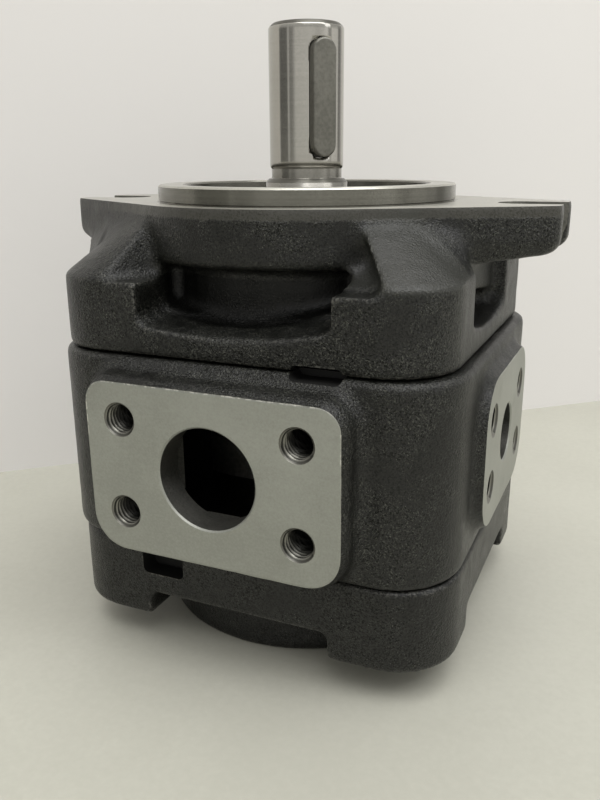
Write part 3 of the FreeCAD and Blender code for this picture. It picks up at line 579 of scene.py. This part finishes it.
def castBlank(node, name, fills, looks, cutters=()):
    # Remeshed, grown and shrunk again, so that its inside corners fill up like a casting's
    s = castMesh
    made = copyOf(node, name)
    cut(made, cutters)
    addShells(made, joinedShapes(fills))
    for growth in (s["fillet"], -s["fillet"], 0.0):
        modify(made, "REMESH", mode="VOXEL", voxel_size=s["voxel"], use_smooth_shade=True)
        modify(made, "DISPLACE", strength=growth, mid_level=0.0)
    modify(made, "SMOOTH", factor=s["smoothing"], iterations=s["rounds"])
    settle(made)
    quads = len(made.data.polygons)
    modify(made, "DECIMATE", ratio=min(1.0, s["triangles"] / (2 * quads)))
    settle(made)
    wave = bpy.data.textures.new(name + "Wave", "CLOUDS")
    wave.noise_scale = s["waveSize"]
    wave.noise_depth = s["waveDetail"]
    modify(made, "DISPLACE", texture=wave, strength=s["waveDepth"], mid_level=1.0, texture_coords="GLOBAL")
    settle(made)
    bpy.data.textures.remove(wave)
    dress(made, looks)
    print(name, "blank:", quads, "quads, then", len(made.data.polygons), "triangles")
    return made


# Places shared by the castings, as in the solids. Fills stop a little inside a face, cutters run past it.
stack = {"frontSplit": -44.0, "rearSplit": -107.0, "screwOffset": 49.992, "gearMiddle": -75.5,
         "ring": (-7.4246, 7.4246), "dowels": ((55.992, -35.992), (-55.992, 35.992)),
         "dowelR": 3.0, "dowelFillR": 4.0, "inside": 0.4, "past": 2.0}
facets = {"turned": 192, "bored": 160, "round": 96, "port": 72, "counterbore": 48, "hole": 32}
corners = [(sx * stack["screwOffset"], sy * stack["screwOffset"]) for sx in (-1, 1) for sy in (-1, 1)]


def frontFrame(u, v, w):
    return (u, -w, v)


def sideFrame(u, v, w):
    return (w, u, v)


# Slots in the joints for a pry bar: middle, half width, and lower and upper level
prySizes = {"depth": 57.992, "spare": 1.0, "past": 80.0, "cornerR": 2.0, "steps": 4,
            "front": (30.5, 8.1, -46.2, -41.8), "rear": (-24.4, 7.75, -118.7, -104.8)}


def prySlots(which, low, high, face):
    # Filled before a casting is remeshed, then cut again with crisp edges, on both sides
    s = prySizes
    middle, half, v0, v1 = s[which]
    spare, corner = s["spare"], s["cornerR"]
    u0, u1 = middle - half, middle + half
    below, above = max(v0 - spare, low), min(v1 + spare, high)
    block = [(u0 - spare, below), (u1 + spare, below), (u1 + spare, above), (u0 - spare, above)]
    fills = bothSides(prism(block, s["depth"] - spare, face, frontFrame))
    outline = roundedOutline(u0, u1, v0, v1, corner, corner, s["steps"])
    return fills, bothSides(prism(outline, s["depth"], s["past"], frontFrame))


coverSizes = {
    "flangeR": 58.5, "earReach": 87.0, "earHalf": 15.0, "earPast": 4.0, "slotX": 73.0, "slotHalf": 7.15,
    "slotEnds": (-22.0, 2.0), "pilotR": 50.8, "pilotHeight": 5.5, "pilotChamfer": 0.5, "recessR": 42.0,
    "recess": 4.0, "lip": 0.8, "relief": 0.3, "reliefDepth": 0.25, "sealR": 23.5, "sealSeat": -17.0,
    "bushR": 17.5, "ringGrooveR": 24.4, "ringGroove": (-9.0, -7.48), "screwR": 6.05,
    "screwEnd": (-26.0, -23.0), "dowelEnd": -38.0, "far": 140.0, "over": 20.0, "pryFace": 64.7,
    # Shells that close the cuts of the solid before the remesh: radius and levels
    "fills": {"flange": (-1.0, -6.0, 5.0), "bore": (49.0, -10.0), "pilot": (54.0, -8.0, 10.0),
              "screw": (8.0, -23.5), "dowelTop": -36.0, "pryTop": -20.0},
    # Cast shapes that the remesh blends in
    "neckFoot": [(40, -24), (46.8, -24), (47.4, -27.5), (49.4, -31), (49.4, -40), (40, -40)],
    "lugEnds": (35.0, 50.0),
    "lugBlend": ((30, -10), (43, -10), (46, -16.5), (50, -18.8), (56, -20.6), (56, -30), (30, -30)),
    "earRib": ((57.0, -31.5), (83.0, -15.0), (83.0, 15.0), (57.0, 31.5)),
    "earLevels": {"root": -17.6, "tip": -14.6, "ground": -8.0},
    "pocket": {"ends": (-28.3, 34.3), "lip": 65.0, "low": -36.3, "middle": -3.0, "curve": 171.0,
               "fall": 0.16, "steps": 24, "under": -4.0, "floor": (46.0, 64.3), "step": (44.0, 50.4),
               "stepHeight": 1.1, "room": (47.2, 75.0), "roomHeight": 7.0},
}


def flangeOutline(grow, steps=40):
    # Two straight-sided ears whose edges touch the round of the flange
    r, reachX, half = (coverSizes[key] + grow for key in ("flangeR", "earReach", "earHalf"))
    reach = math.hypot(reachX, half)
    tip = math.degrees(math.asin(half / reach))
    touch = tip + math.degrees(math.acos(r / reach))
    outline = []
    for turn in (0.0, 180.0):
        outline += arc(0, 0, reach, turn - tip, 2 * tip, 1)
        outline += arc(0, 0, r, turn + touch, 180 - 2 * touch, steps)
    return outline


def slotOutline(half, length, steps=20):
    # Open-ended: a half circle towards the shaft, then straight out past the ear
    return arc(0, 0, half, 90, 180, steps) + [(length, -half), (length, half)]


def earLevel(u, v, w):
    # The slanted underside of an ear where w is 0, level ground inside it where w is 1
    (inner, _), (outer, _) = coverSizes["earRib"][:2]
    s = coverSizes["earLevels"]
    under = s["root"] + (s["tip"] - s["root"]) * (abs(u) - inner) / (outer - inner)
    return (u, v, s["ground"] if w else under)


def pocketFloor(x, y):
    s = coverSizes["pocket"]
    return s["low"] + (x - s["middle"]) ** 2 / (2 * s["curve"]) + (y + s["lip"]) * s["fall"]


def pocketShell(reach, front, low, high):
    # Closed shell along the pocket floor, from a circle round the shaft out to a straight front
    (left, right), steps = coverSizes["pocket"]["ends"], coverSizes["pocket"]["steps"]
    points, faces = [], []
    for k in range(steps + 1):
        x = left + (right - left) * k / steps
        inner = -math.sqrt(reach ** 2 - x ** 2)
        for y in (inner, (inner - front) / 2, -front):
            base = pocketFloor(x, y)
            points += [(x, y, base + low), (x, y, base + high)]
    ring = [0, 2, 4, 5, 3, 1]
    for k in range(steps):
        a, b = 6 * k, 6 * k + 6
        faces += [[a + ring[i], a + ring[(i + 1) % 6], b + ring[(i + 1) % 6], b + ring[i]] for i in range(6)]
    faces += [ring[::-1], [6 * steps + i for i in ring]]
    return points, faces


def coverShells():
    s, fills, pocket = coverSizes, coverSizes["fills"], coverSizes["pocket"]
    low = stack["frontSplit"] + stack["inside"]
    grow, bottom, top = fills["flange"]
    shells = [prism(flangeOutline(grow), bottom, top), bar(fills["bore"][0], low, fills["bore"][1]),
              bar(*fills["pilot"])]
    shells += bars(corners, fills["screw"][0], low, fills["screw"][1])
    shells += bars(stack["dowels"], stack["dowelFillR"], low, fills["dowelTop"])
    shells.append(lathe(s["neckFoot"]))
    for side in (-1, 1):
        shells.append(turnedTo(side, pocketShell(*pocket["floor"], pocket["under"], 0.0)))
        shells.append(turnedTo(side, pocketShell(*pocket["step"], pocket["under"], pocket["stepHeight"])))
    shells += bothSides(prism(s["lugBlend"], *s["lugEnds"], lambda u, v, w: (w, -u, v)))
    for side in (-1, 1):
        shells.append(prism([(side * u, v) for u, v in s["earRib"]], 0, 1, earLevel))
    return shells


def pilotBands():
    # Everything above the mounting face, outside the pilot
    s = coverSizes
    r, top, chamfer = s["pilotR"], s["pilotHeight"], s["pilotChamfer"]
    far, over, relief, depth = s["far"], s["over"], s["relief"], s["reliefDepth"]
    return [("mounting", [(0, top), (r - chamfer, top)]),
            ("pilot", [(r, top - chamfer), (r, 2 * relief), (r - relief, relief), (r - relief, -depth)]),
            ("mounting", [(r + 2 * depth, -depth), (r + 3 * depth, 0), (far, 0), (far, over), (0, over)])]


def coverBoreBands():
    # Bush seat, seal seat with the groove of its ring, and the recess inside the pilot
    s = coverSizes
    low, seat, (grooveLow, grooveHigh) = stack["frontSplit"] - stack["past"], s["sealSeat"], s["ringGroove"]
    bush, seal, groove, wide, lip = s["bushR"], s["sealR"], s["ringGrooveR"], s["recessR"], s["lip"]
    floor, top, over = -s["recess"], s["pilotHeight"], s["over"]
    return [("mounting", [(0, low), (bush, low), (bush, seat), (seal, seat), (seal, grooveLow),
                          (groove, grooveLow), (groove, grooveHigh), (seal, grooveHigh), (seal, floor - lip),
                          (seal + lip, floor)]),
            ("pilot", [(wide, floor), (wide, top - 0.6)]),
            ("mounting", [(wide + lip, top + 0.2), (wide + lip, over), (0, over)])]


def frontCover():
    s = coverSizes
    looks = ["cover", "mounting", "bore", "pilot", "recess"]
    split = stack["frontSplit"]
    fills, slots = prySlots("front", split + stack["inside"], s["fills"]["pryTop"], s["pryFace"])
    room = pocketShell(*s["pocket"]["room"], 0.0, s["pocket"]["roomHeight"])
    rooms = [solid("cutter", shape) for shape in bothSides(room)]
    made = castBlank("front_cover", "frontCover", coverShells() + fills, looks, rooms)
    tools = [turnedTool(pilotBands(), looks, facets["turned"]),
             turnedTool(coverBoreBands(), looks, facets["bored"])]
    tools += toolsFor(looks, "recess", *slots)
    bores = []
    for side in (-1, 1):
        outline = slotOutline(s["slotHalf"], s["earReach"] + s["earPast"] - s["slotX"])
        outline = [(side * (s["slotX"] + u), v) for u, v in outline]
        bores.append(prism(outline, *s["slotEnds"]))
    low, r, (shoulder, point) = split - stack["past"], s["screwR"], s["screwEnd"]
    drill = [(0, low), (r, low), (r, shoulder), (0, point)]
    bores += [lathe(drill, facets["hole"], x, y) for x, y in corners]
    bores += bars(stack["dowels"], stack["dowelR"], low, s["dowelEnd"])
    cut(made, tools + toolsFor(looks, "bore", *bores))
    finished(made, "front_cover", "housing")


# A Geometry Nodes tree with named inputs, which ends in real geometry with a material
class Recipe(Graph):
    kinds = {float: "NodeSocketFloat", int: "NodeSocketInt"}

    def __init__(self, name, sizes, material):
        super().__init__(bpy.data.node_groups.new(name, "GeometryNodeTree"))
        self.values = {}
        self.name = name
        self.tree.interface.new_socket("Geometry", in_out="OUTPUT", socket_type="NodeSocketGeometry")
        for label, value in sizes.items():
            self.addInput(label, self.kinds[type(value)], value)
        self.addInput("material", "NodeSocketMaterial", material)
        self.group = self.tree.nodes.new("NodeGroupInput")

    def addInput(self, label, kind, value):
        made = self.tree.interface.new_socket(label, in_out="INPUT", socket_type=kind)
        self.values[made.identifier] = value

    def size(self, label):
        return Channel(self, self.group.outputs[label])

    def made(self, geometry):
        real = self.out("GeometryNodeRealizeInstances", {}, {0: geometry})
        sockets = {"Geometry": real, "Material": self.size("material")}
        dressed = self.out("GeometryNodeSetMaterial", {}, sockets)
        output = self.tree.nodes.new("NodeGroupOutput")
        self.tree.links.new(dressed.socket, output.inputs[0])
        holder = bpy.data.objects.new(self.name, bpy.data.meshes.new(self.name))
        bpy.context.scene.collection.objects.link(holder)
        modifier = holder.modifiers.new("recipe", "NODES")
        modifier.node_group = self.tree
        for identifier, value in self.values.items():
            modifier[identifier] = value
        settle(holder)
        return holder


# An M10 tap. Lengths in metres, as the tree's inputs.
tapSizes = {"depth": 22.0 * mm, "over": 0.6 * mm, "crest": 4.25 * mm, "root": 5.05 * mm, "mouth": 5.5 * mm,
            "pitch": 1.5 * mm, "sharp": 1.15, "sides": 28, "rows": 96}


def threadRadius(recipe, place):
    # Climbs between crest and root once a turn, as a right-hand thread does
    x, y, z = recipe.split(place)
    turn = z / recipe.size("pitch") - y.call("ARCTAN2", x) / (2 * math.pi)
    wave = abs(turn.call("FRACT") - 0.5) * 2 * recipe.size("sharp")
    crest = recipe.size("crest")
    return crest + (recipe.size("root") - crest) * wave.call("MINIMUM", 1.0)


def rescaled(recipe, geometry, place, radius):
    # Moves every point out or in along its own radius; points on the axis stay there
    x, y, z = recipe.split(place)
    share = radius / recipe.reach(place).call("MAXIMUM", 1e-6)
    where = recipe.out("ShaderNodeCombineXYZ", {}, {0: x * share, 1: y * share, 2: z})
    return recipe.out("GeometryNodeSetPosition", {}, {"Geometry": geometry, "Position": where})


def tappedHoles(name, spacing, turn):
    # The shape that four taps leave: helical grooves and a countersunk mouth at every bolt place
    sizes = dict(tapSizes, across=spacing[0] * mm, along=spacing[1] * mm)
    r = Recipe(name, sizes, finishes["thread"])
    length = r.size("depth") + r.size("over")
    rodSockets = {"Vertices": r.size("sides"), "Side Segments": r.size("rows"), "Radius": r.size("crest"),
                  "Depth": length}
    rod = r.out("GeometryNodeMeshCylinder", {}, rodSockets)
    drop = r.out("ShaderNodeCombineXYZ", {}, {2: r.size("over") - length / 2})
    rod = r.out("GeometryNodeTransform", {}, {"Geometry": rod, "Translation": drop})
    place = r.out("GeometryNodeInputPosition", {}, {})
    radius = threadRadius(r, place).call("MAXIMUM", r.size("mouth") + r.split(place)[2])
    rod = rescaled(r, rod, place, radius)
    gridSockets = {"Vertices X": 2, "Vertices Y": 2, "Size X": r.size("across"), "Size Y": r.size("along")}
    spots = r.out("GeometryNodeMeshToPoints", {}, {0: r.out("GeometryNodeMeshGrid", {}, gridSockets)})
    made = r.made(r.out("GeometryNodeInstanceOnPoints", {}, {"Points": spots, "Instance": rod}))
    made.data.transform(turn)
    return made


# Port frames: the face's outward normal becomes the tap's own axis
towardsFront = Matrix(((1, 0, 0), (0, 0, -1), (0, 1, 0))).to_4x4()
towardsSide = Matrix(((0, 0, 1), (1, 0, 0), (0, 1, 0))).to_4x4()

bodySizes = {
    "suctionR": 16.0, "suctionDepth": 10.2, "suctionLevel": -76.5, "pressureR": 9.75, "lip": 0.5,
    "suctionBolts": (58.7, 30.2), "pressureBolts": (47.6, 22.2),
    "ringBore": 44.55, "chambers": ((56.0, -150.0), (54.0, -28.0)), "chamberSweep": 88.0,
    "chamberEnds": (-91.5, -59.5), "windowHalf": 13.6, "windowR": 3.0, "screwR": 6.6, "dowelDepth": 6.0,
    "grooveR": (46.82, 50.02), "grooveDepth": 2.02, "ringFillR": 56.5, "screwFillR": 8.0, "inside": 0.5,
    "cutPast": 1.0, "pryFace": 66.2, "faceHalf": 120.0, "faceLow": -140.0, "facePast": 110.0,
    "skirt": ((4.0, -0.6), (0.6, -0.5), (0.0, 0.0), (-1.2, 0.9), (-3.2, 1.7), (-14.0, 2.5)),
}


def padOutline(pad, spread):
    (u, v), (halfU, halfV) = pad["middle"], pad["half"]
    return roundedOutline(u - halfU - spread, u + halfU + spread, v - halfV - spread, v + halfV + spread,
                          pad["lowR"] + spread, pad["highR"] + spread)


def padSkirt(pad, place):
    # The cast foot of a pad, wider towards the body and a little past the milled face
    levels = [(pad["out"] + height, spread) for height, spread in bodySizes["skirt"]]
    return stacked(levels, lambda spread: padOutline(pad, spread), place)


def faceBlock(pad, place):
    s = bodySizes
    half, low = s["faceHalf"], s["faceLow"]
    return prism([(-half, low), (half, low), (half, 0), (-half, 0)], pad["out"], s["facePast"], place)


def portTool(pad, place, looks, look, r, deep, level, steps):
    # A port's bore with a broken edge, turned about an axis at its own level
    out, lip, past = pad["out"], bodySizes["lip"], bodySizes["cutPast"]
    bands = [("port", [(0, deep), (r, deep)]),
             (look, [(r, out - lip), (r + lip + past, out + past), (0, out + past)])]
    return turnedTool(bands, looks, steps, 0, 0, lambda u, v, w: place(u, v + level, w))


def bodyShells():
    s = bodySizes
    low, high = stack["rearSplit"] + s["inside"], stack["frontSplit"] - s["inside"]
    shells = [bar(s["ringFillR"], low, high, facets["round"], *stack["ring"])]
    shells += bars(corners, s["screwFillR"], low, high)
    shells += bars(stack["dowels"], stack["dowelFillR"], low, high)
    return shells + [padSkirt(frontPad, frontFrame), padSkirt(sidePad, sideFrame)]


def gearHollows():
    # The two chambers round the ring gear and the window to the suction port
    s = bodySizes
    x, y = stack["ring"]
    low, high = s["chamberEnds"]
    inner = s["ringBore"] - stack["past"]
    shapes = []
    for reach, first in s["chambers"]:
        ring = [(inner, low), (reach, low), (reach, high), (inner, high)]
        shapes.append(lathe(ring, facets["hole"], x, y, None, first, s["chamberSweep"]))
    window = roundedOutline(-s["windowHalf"], s["windowHalf"], low, high, s["windowR"], s["windowR"], steps=4)
    outer = frontPad["out"] - s["suctionDepth"] + s["inside"]
    return shapes + [prism(window, inner - y, outer, frontFrame)]


def jointHoles():
    # Screw holes right through, dowel holes in both ends and the grooves of the joint rings
    s = bodySizes
    front, rear, past = stack["frontSplit"], stack["rearSplit"], stack["past"]
    deep, shallow, (inner, outer) = s["dowelDepth"], s["grooveDepth"], s["grooveR"]
    over = s["cutPast"]
    shapes = bars(corners, s["screwR"], rear - past, front + past, facets["hole"])
    for spot in stack["dowels"]:
        for split in (front, rear):
            shapes += bars([spot], stack["dowelR"], split - deep, split + deep)
    for low, high in ((front - shallow, front + over), (rear - over, rear + shallow)):
        groove = [(inner, low), (outer, low), (outer, high), (inner, high)]
        shapes.append(lathe(groove, facets["round"], *stack["ring"]))
    return shapes


def portTaps(looks):
    s = bodySizes
    spot = Matrix.Translation((0, -frontPad["out"] * mm, s["suctionLevel"] * mm))
    taps = [tappedHoles("suctionTaps", s["suctionBolts"], spot @ towardsFront)]
    spot = Matrix.Translation((sidePad["out"] * mm, 0, stack["gearMiddle"] * mm))
    taps.append(tappedHoles("pressureTaps", s["pressureBolts"], spot @ towardsSide))
    for tap in taps:
        dress(tap, looks)
        tap.data.polygons.foreach_set("material_index", [looks.index("thread")] * len(tap.data.polygons))
    return taps


def pumpBody():
    s = bodySizes
    looks = ["cast", "frontFace", "sideFace", "bore", "thread", "port", "innerShade", "recess"]
    front, rear = stack["frontSplit"], stack["rearSplit"]
    inside, past = stack["inside"], stack["past"]
    x, y = stack["ring"]
    shells, slots = bodyShells(), []
    for which in ("front", "rear"):
        fills, found = prySlots(which, rear + inside, front - inside, s["pryFace"])
        shells += fills
        slots += found
    made = castBlank("pump_body", "pumpBody", shells, looks)
    tools = toolsFor(looks, "frontFace", faceBlock(frontPad, frontFrame))
    tools += toolsFor(looks, "sideFace", faceBlock(sidePad, sideFrame))
    tools += toolsFor(looks, "recess", *slots)
    suction = s["suctionR"], frontPad["out"] - s["suctionDepth"], s["suctionLevel"], facets["round"]
    tools.append(portTool(frontPad, frontFrame, looks, "frontFace", *suction))
    pressure = s["pressureR"], x + s["ringBore"] - s["cutPast"], stack["gearMiddle"], facets["port"]
    tools.append(portTool(sidePad, sideFrame, looks, "sideFace", *pressure))
    ringBore = bar(s["ringBore"], rear - past, front + past, facets["bored"], x, y)
    tools += toolsFor(looks, "bore", ringBore)
    tools += toolsFor(looks, "innerShade", *gearHollows())
    tools += toolsFor(looks, "bore", *jointHoles())
    cut(made, tools + portTaps(looks))
    finished(made, "pump_body", "housing")


rearSizes = {"bossBottom": -146.0, "bossFillR": 40.0, "footBottom": -135.0, "footFillR": 10.4,
             "dowelDepth": 6.0, "bushR": 17.5, "boreFloor": -142.0, "screwR": 6.6, "counterboreR": 9.5,
             "seat": -118.0, "inside": 0.5, "pryLow": -130.0, "pryFace": 64.7,
             "cutPast": 3.0}


def rearCover():
    s = rearSizes
    looks = ["rear", "bore", "recess"]
    rear, past = stack["rearSplit"], stack["past"]
    low, high = s["footBottom"], rear - s["inside"]
    shells = [bar(s["bossFillR"], s["bossBottom"] + s["inside"], high)]
    shells += bars(corners, s["footFillR"], low + past, high)
    shells += bars(stack["dowels"], stack["dowelFillR"], rear - s["dowelDepth"] - past, high)
    fills, slots = prySlots("rear", s["pryLow"], rear - stack["inside"], s["pryFace"])
    made = castBlank("rear_cover", "rearCover", shells + fills, looks)
    low, high = low - s["cutPast"], rear + past
    tools = toolsFor(looks, "bore", bar(s["bushR"], s["boreFloor"], high))
    tools += toolsFor(looks, "recess", *slots)
    wide, narrow, seat = s["counterboreR"], s["screwR"], s["seat"]
    stepped = [(0, low), (wide, low), (wide, seat), (narrow, seat), (narrow, high), (0, high)]
    bores = [lathe(stepped, facets["counterbore"], x, y) for x, y in corners]
    bores += bars(stack["dowels"], stack["dowelR"], rear - s["dowelDepth"], high)
    cut(made, tools + toolsFor(looks, "bore", *bores))
    finished(made, "rear_cover", "housing")


frontCover()
pumpBody()
rearCover()
print("castings made")

shaftSizes = {
    "r": 12.5, "length": 55.6, "tip": 1.2, "undercutR": 12.0, "undercut": (7.1, 10.8), "journal": 15.0,
    "sealR": 14.0, "shoulder": -17.5, "join": -19.0, "overlap": 0.5, "break": 0.25, "far": (40.0, 80.0),
    "slotSpare": 0.45, "slotSide": 0.12, "slotPast": 30.0, "ringGap": 2.0, "rings": 21,
}
keySizes = {"angle": -43.5, "width": 8.0, "start": 14.0, "length": 36.0, "seat": 8.5, "top": 15.5,
            "edge": 0.45}


def keyOutline(spare=0.0, shrink=0.0, steps=14):
    s = keySizes
    r = s["width"] / 2
    low, high = s["start"] - spare + r, s["start"] + s["length"] + spare - r
    return arc(0, low, r - shrink, 180, 180, steps) + arc(0, high, r - shrink, 0, 180, steps)


def keyFrame(u, v, w):
    a = math.radians(keySizes["angle"])
    return (w * math.cos(a) - u * math.sin(a), w * math.sin(a) + u * math.cos(a), v)


def shaftBands():
    # From inside the seal up: seal collar, undercut, ground shaft in even rings, and the turned tip.
    # The small steps and broken edges between them are written out.
    s = shaftSizes
    r, seal, under, c, (low, high) = s["r"], s["sealR"], s["undercutR"], s["break"], s["undercut"]
    foot, shoulder, journal = s["join"] - s["overlap"], s["shoulder"], s["journal"]
    tip, length = s["tip"], s["length"]
    rings = [(r, high + s["ringGap"] * k) for k in range(1, s["rings"] + 1)]
    return [("collar", [(0, foot), (journal, foot), (journal, shoulder), (seal, shoulder + 1)]),
            ("shaftEnd", [(seal, low - 1 - c), (seal - c, low - 1), (seal - 1, low - c / 2)]),
            ("collar", [(seal - 1.3, low), (under + c, low), (under, low + c), (under, high - 0.5)]),
            ("shaft", [(r - 0.12, high), (r, high + 0.15), *rings, (r, length - tip - 0.3)]),
            ("shaftEnd", [(r - 0.15, length - tip), (r - tip + 0.1, length - 0.2),
                          (r - tip - 0.2, length), (0, length)])]


def pinionShaft():
    # The toothed end is the solid's own; the visible end is turned anew and the keyway cut in it
    s = shaftSizes
    looks = ["gear", "shaft", "shaftEnd", "collar"]
    made = copyOf("pinion_shaft", "pinionShaft")
    dress(made, looks)
    farR, farTop = s["far"]
    cut(made, toolsFor(looks, "gear", bar(farR, s["join"], farTop, facets["hole"])))
    cut(made, [turnedTool(shaftBands(), looks, facets["turned"])], "UNION")
    slot = prism(keyOutline(s["slotSpare"], -s["slotSide"]), keySizes["seat"], s["slotPast"], keyFrame)
    cut(made, toolsFor(looks, "shaft", slot))
    finished(made, "pinion_shaft", "drive", 28.0)


def shaftKey():
    # Levels and how far the outline is drawn in: small chamfers below, rounder edges on top
    seat, top, edge = keySizes["seat"], keySizes["top"], keySizes["edge"]
    levels = ((seat, edge), (seat + edge, 0.0), (top - edge, 0.0), (top - edge * 0.3, edge * 0.5),
              (top, edge * 1.2))
    shape = stacked(levels, lambda shrink: keyOutline(0.0, shrink), keyFrame)
    made = solid("shaftKey", shape, [finishes["key"]])
    finished(made, "shaft_key", "drive", 20.0)


pinionShaft()
shaftKey()

# Inner pieces keep their own solids and only get a finish
innerLooks = {
    "gear": ("ring_gear", "sealing_rollers", "stop_pin", "front_dowel_pins", "rear_dowel_pins"),
    "bronze": ("segment_carrier", "outer_segment", "front_axial_disc", "rear_axial_disc"),
    "rubber": ("front_disc_seal", "rear_disc_seal", "shaft_seal", "front_joint_ring", "rear_joint_ring"),
    "lining": ("front_bearing_bush", "rear_bearing_bush"),
    "spring": ("segment_spring", "seal_spring", "seal_retaining_ring"),
    "screw": ("cover_screws",),
}
for key, nodes in innerLooks.items():
    for node in nodes:
        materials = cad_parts[node].data.materials
        materials.clear()
        materials.append(finishes[key])
print("inner pieces dressed:", sum(len(nodes) for nodes in innerLooks.values()))

# Bench top and wall: the wall runs past a point behind the pump at an angle, and is clear from behind
stageSizes = {"floor": -146.0, "reach": 3200.0, "wallPoint": (-182.9, 44.7), "wallTurn": 42.4,
              "wallHeight": 1200.0, "wallNear": 394.0, "wallLength": 824.0, "sunk": 5.0}
stageLook = {"benchDeep": (0.44, 0.435, 0.375), "benchPale": (0.50, 0.495, 0.43),
             "wallDeep": (0.735, 0.718, 0.702), "wallPale": (0.795, 0.777, 0.763)}


def benchPaint():
    f = Finish("benchTop")
    broad = f.noise(6.0, 4.0)
    fine = f.noise(420.0)
    tone = f.smooth(broad * 0.7 + fine * 0.3, 0.3, 0.7)
    colour = f.blend(tone, stageLook["benchDeep"], stageLook["benchPale"])
    normal = f.bump(fine, 0.06 * mm, 0.4)
    return f.surface({"Base Color": colour, "Roughness": 0.42 + broad * 0.12, "Normal": normal})


def wallPaint():
    f = Finish("wallPaint")
    colour = f.blend(f.noise(3.0, 3.0, 0.5), stageLook["wallDeep"], stageLook["wallPale"])
    normal = f.bump(f.noise(300.0), 0.1 * mm, 0.3)
    sockets = {"Base Color": colour, "Roughness": 0.6, "Normal": normal}
    paint = f.out("ShaderNodeBsdfPrincipled", {}, sockets)
    clear = f.out("ShaderNodeBsdfTransparent", {}, {})
    behind = f.out("ShaderNodeNewGeometry", {}, {}, "Backfacing")
    mixed = f.out("ShaderNodeMixShader", {}, {0: behind, 1: paint, 2: clear})
    f.node("ShaderNodeOutputMaterial", {}, {"Surface": mixed})
    return f.material


def makeStage():
    s = stageSizes
    far, level = s["reach"], s["floor"]
    outline = [(-far, -far, level), (far, -far, level), (far, far, level), (-far, far, level)]
    floor = solid("benchTop", (outline, [[0, 1, 2, 3]]), [benchPaint()])
    a = math.radians(s["wallTurn"])
    along = Vector((math.cos(a), math.sin(a), 0))
    first = Vector((*s["wallPoint"], level - s["sunk"])) - along * s["wallNear"]
    last = first + along * s["wallLength"]
    up = Vector((0, 0, s["wallHeight"]))
    wall = solid("wall", ([first, last, last + up, first + up], [[0, 1, 2, 3]]), [wallPaint()])


makeStage()

# Place in millimetres, turns in degrees, near limit in metres; the sensor lies along the picture's height
cameraSizes = {"place": (112.64, -260.68, 13.76), "yaw": -23.944, "pitch": 16.994, "roll": 0.400,
               "lens": 35.64, "sensor": 36.0, "nearest": 0.01}


def makeCamera():
    s = cameraSizes
    data = bpy.data.cameras.new("camera")
    data.lens = s["lens"]
    data.sensor_width = s["sensor"]
    data.clip_start = s["nearest"]
    made = bpy.data.objects.new("camera", data)
    bpy.context.scene.collection.objects.link(made)
    yaw, pitch, roll = (math.radians(s[k]) for k in ("yaw", "pitch", "roll"))
    ahead = Vector((math.sin(yaw) * math.cos(pitch), math.cos(yaw) * math.cos(pitch), -math.sin(pitch)))
    level = Vector((math.cos(yaw), -math.sin(yaw), 0))
    down = ahead.cross(level)
    right = math.cos(roll) * level + math.sin(roll) * down
    up = math.sin(roll) * level - math.cos(roll) * down
    basis = Matrix((right, up, -ahead)).transposed().to_4x4()
    made.matrix_world = Matrix.Translation(Vector(s["place"]) * mm) @ basis
    bpy.context.scene.camera = made


makeCamera()

# Lamps in metres and watts
lamps = (
    {"name": "ceilingLamp", "place": (0.7, -0.55, 2.1), "size": (2.4, 2.0), "power": 46.0},
    {"name": "sideLamp", "place": (1.3, 0.1, 0.9), "size": (0.5, 0.9), "power": 2.5},
)
lampAim = Vector((0.0, 0.0, -0.05))
# What stands round the bench near eye level, by bearing in degrees: the brightness seen in turned metal
roomBands = ((-180, 0.55), (-156, 0.50), (-153, 0.16), (-127, 0.16), (-123, 0.80), (-118, 0.28), (-109, 0.34),
             (-99, 0.80), (-50, 0.85), (-30, 0.72), (0, 0.95), (5, 0.42), (13, 0.42), (18, 1.0), (44, 0.85),
             (48, 0.28), (58, 0.28), (64, 0.65), (180, 0.55))
roomLook = {"below": (0.16, 0.157, 0.147), "level": (0.34, 0.335, 0.318), "above": (0.92, 0.91, 0.88),
            "tint": (1.0, 0.985, 0.945), "bandEdge": (0.16, 0.36)}


def makeLamps():
    for lamp in lamps:
        data = bpy.data.lights.new(lamp["name"], "AREA")
        data.shape = "RECTANGLE"
        data.size, data.size_y = lamp["size"]
        data.energy = lamp["power"]
        made = bpy.data.objects.new(lamp["name"], data)
        made.location = lamp["place"]
        towards = lampAim - Vector(lamp["place"])
        made.rotation_euler = towards.to_track_quat("-Z", "Y").to_euler()
        bpy.context.scene.collection.objects.link(made)


def makeWorld():
    # A plain gradient from floor to ceiling, with the bands over it near the horizon
    look = roomLook
    world = bpy.data.worlds.new("room")
    world.use_nodes = True
    g = Graph(world.node_tree)
    g.tree.nodes.clear()
    x, y, height = g.split(g.out("ShaderNodeTexCoord", {}, {}, "Generated"))
    stops = ((0.0, look["below"]), (0.5, look["level"]), (1.0, look["above"]))
    sky = g.out("ShaderNodeValToRGB", {"stops": stops}, {0: height * 0.5 + 0.5})
    stops = [(0.5 + bearing / 360, [bright * c for c in look["tint"]]) for bearing, bright in roomBands]
    bearing = y.call("ARCTAN2", x) / (2 * math.pi) + 0.5
    bands = g.out("ShaderNodeValToRGB", {"stops": stops}, {0: bearing})
    level = g.smooth(abs(height), *look["bandEdge"], 1.0, 0.0)
    back = g.out("ShaderNodeBackground", {}, {"Color": g.blend(level, sky, bands), "Strength": 1.0})
    g.node("ShaderNodeOutputWorld", {}, {"Surface": back})
    bpy.context.scene.world = world


makeLamps()
makeWorld()
bpy.context.scene.view_settings.view_transform = "Standard"
print("stage, camera and lamps placed")
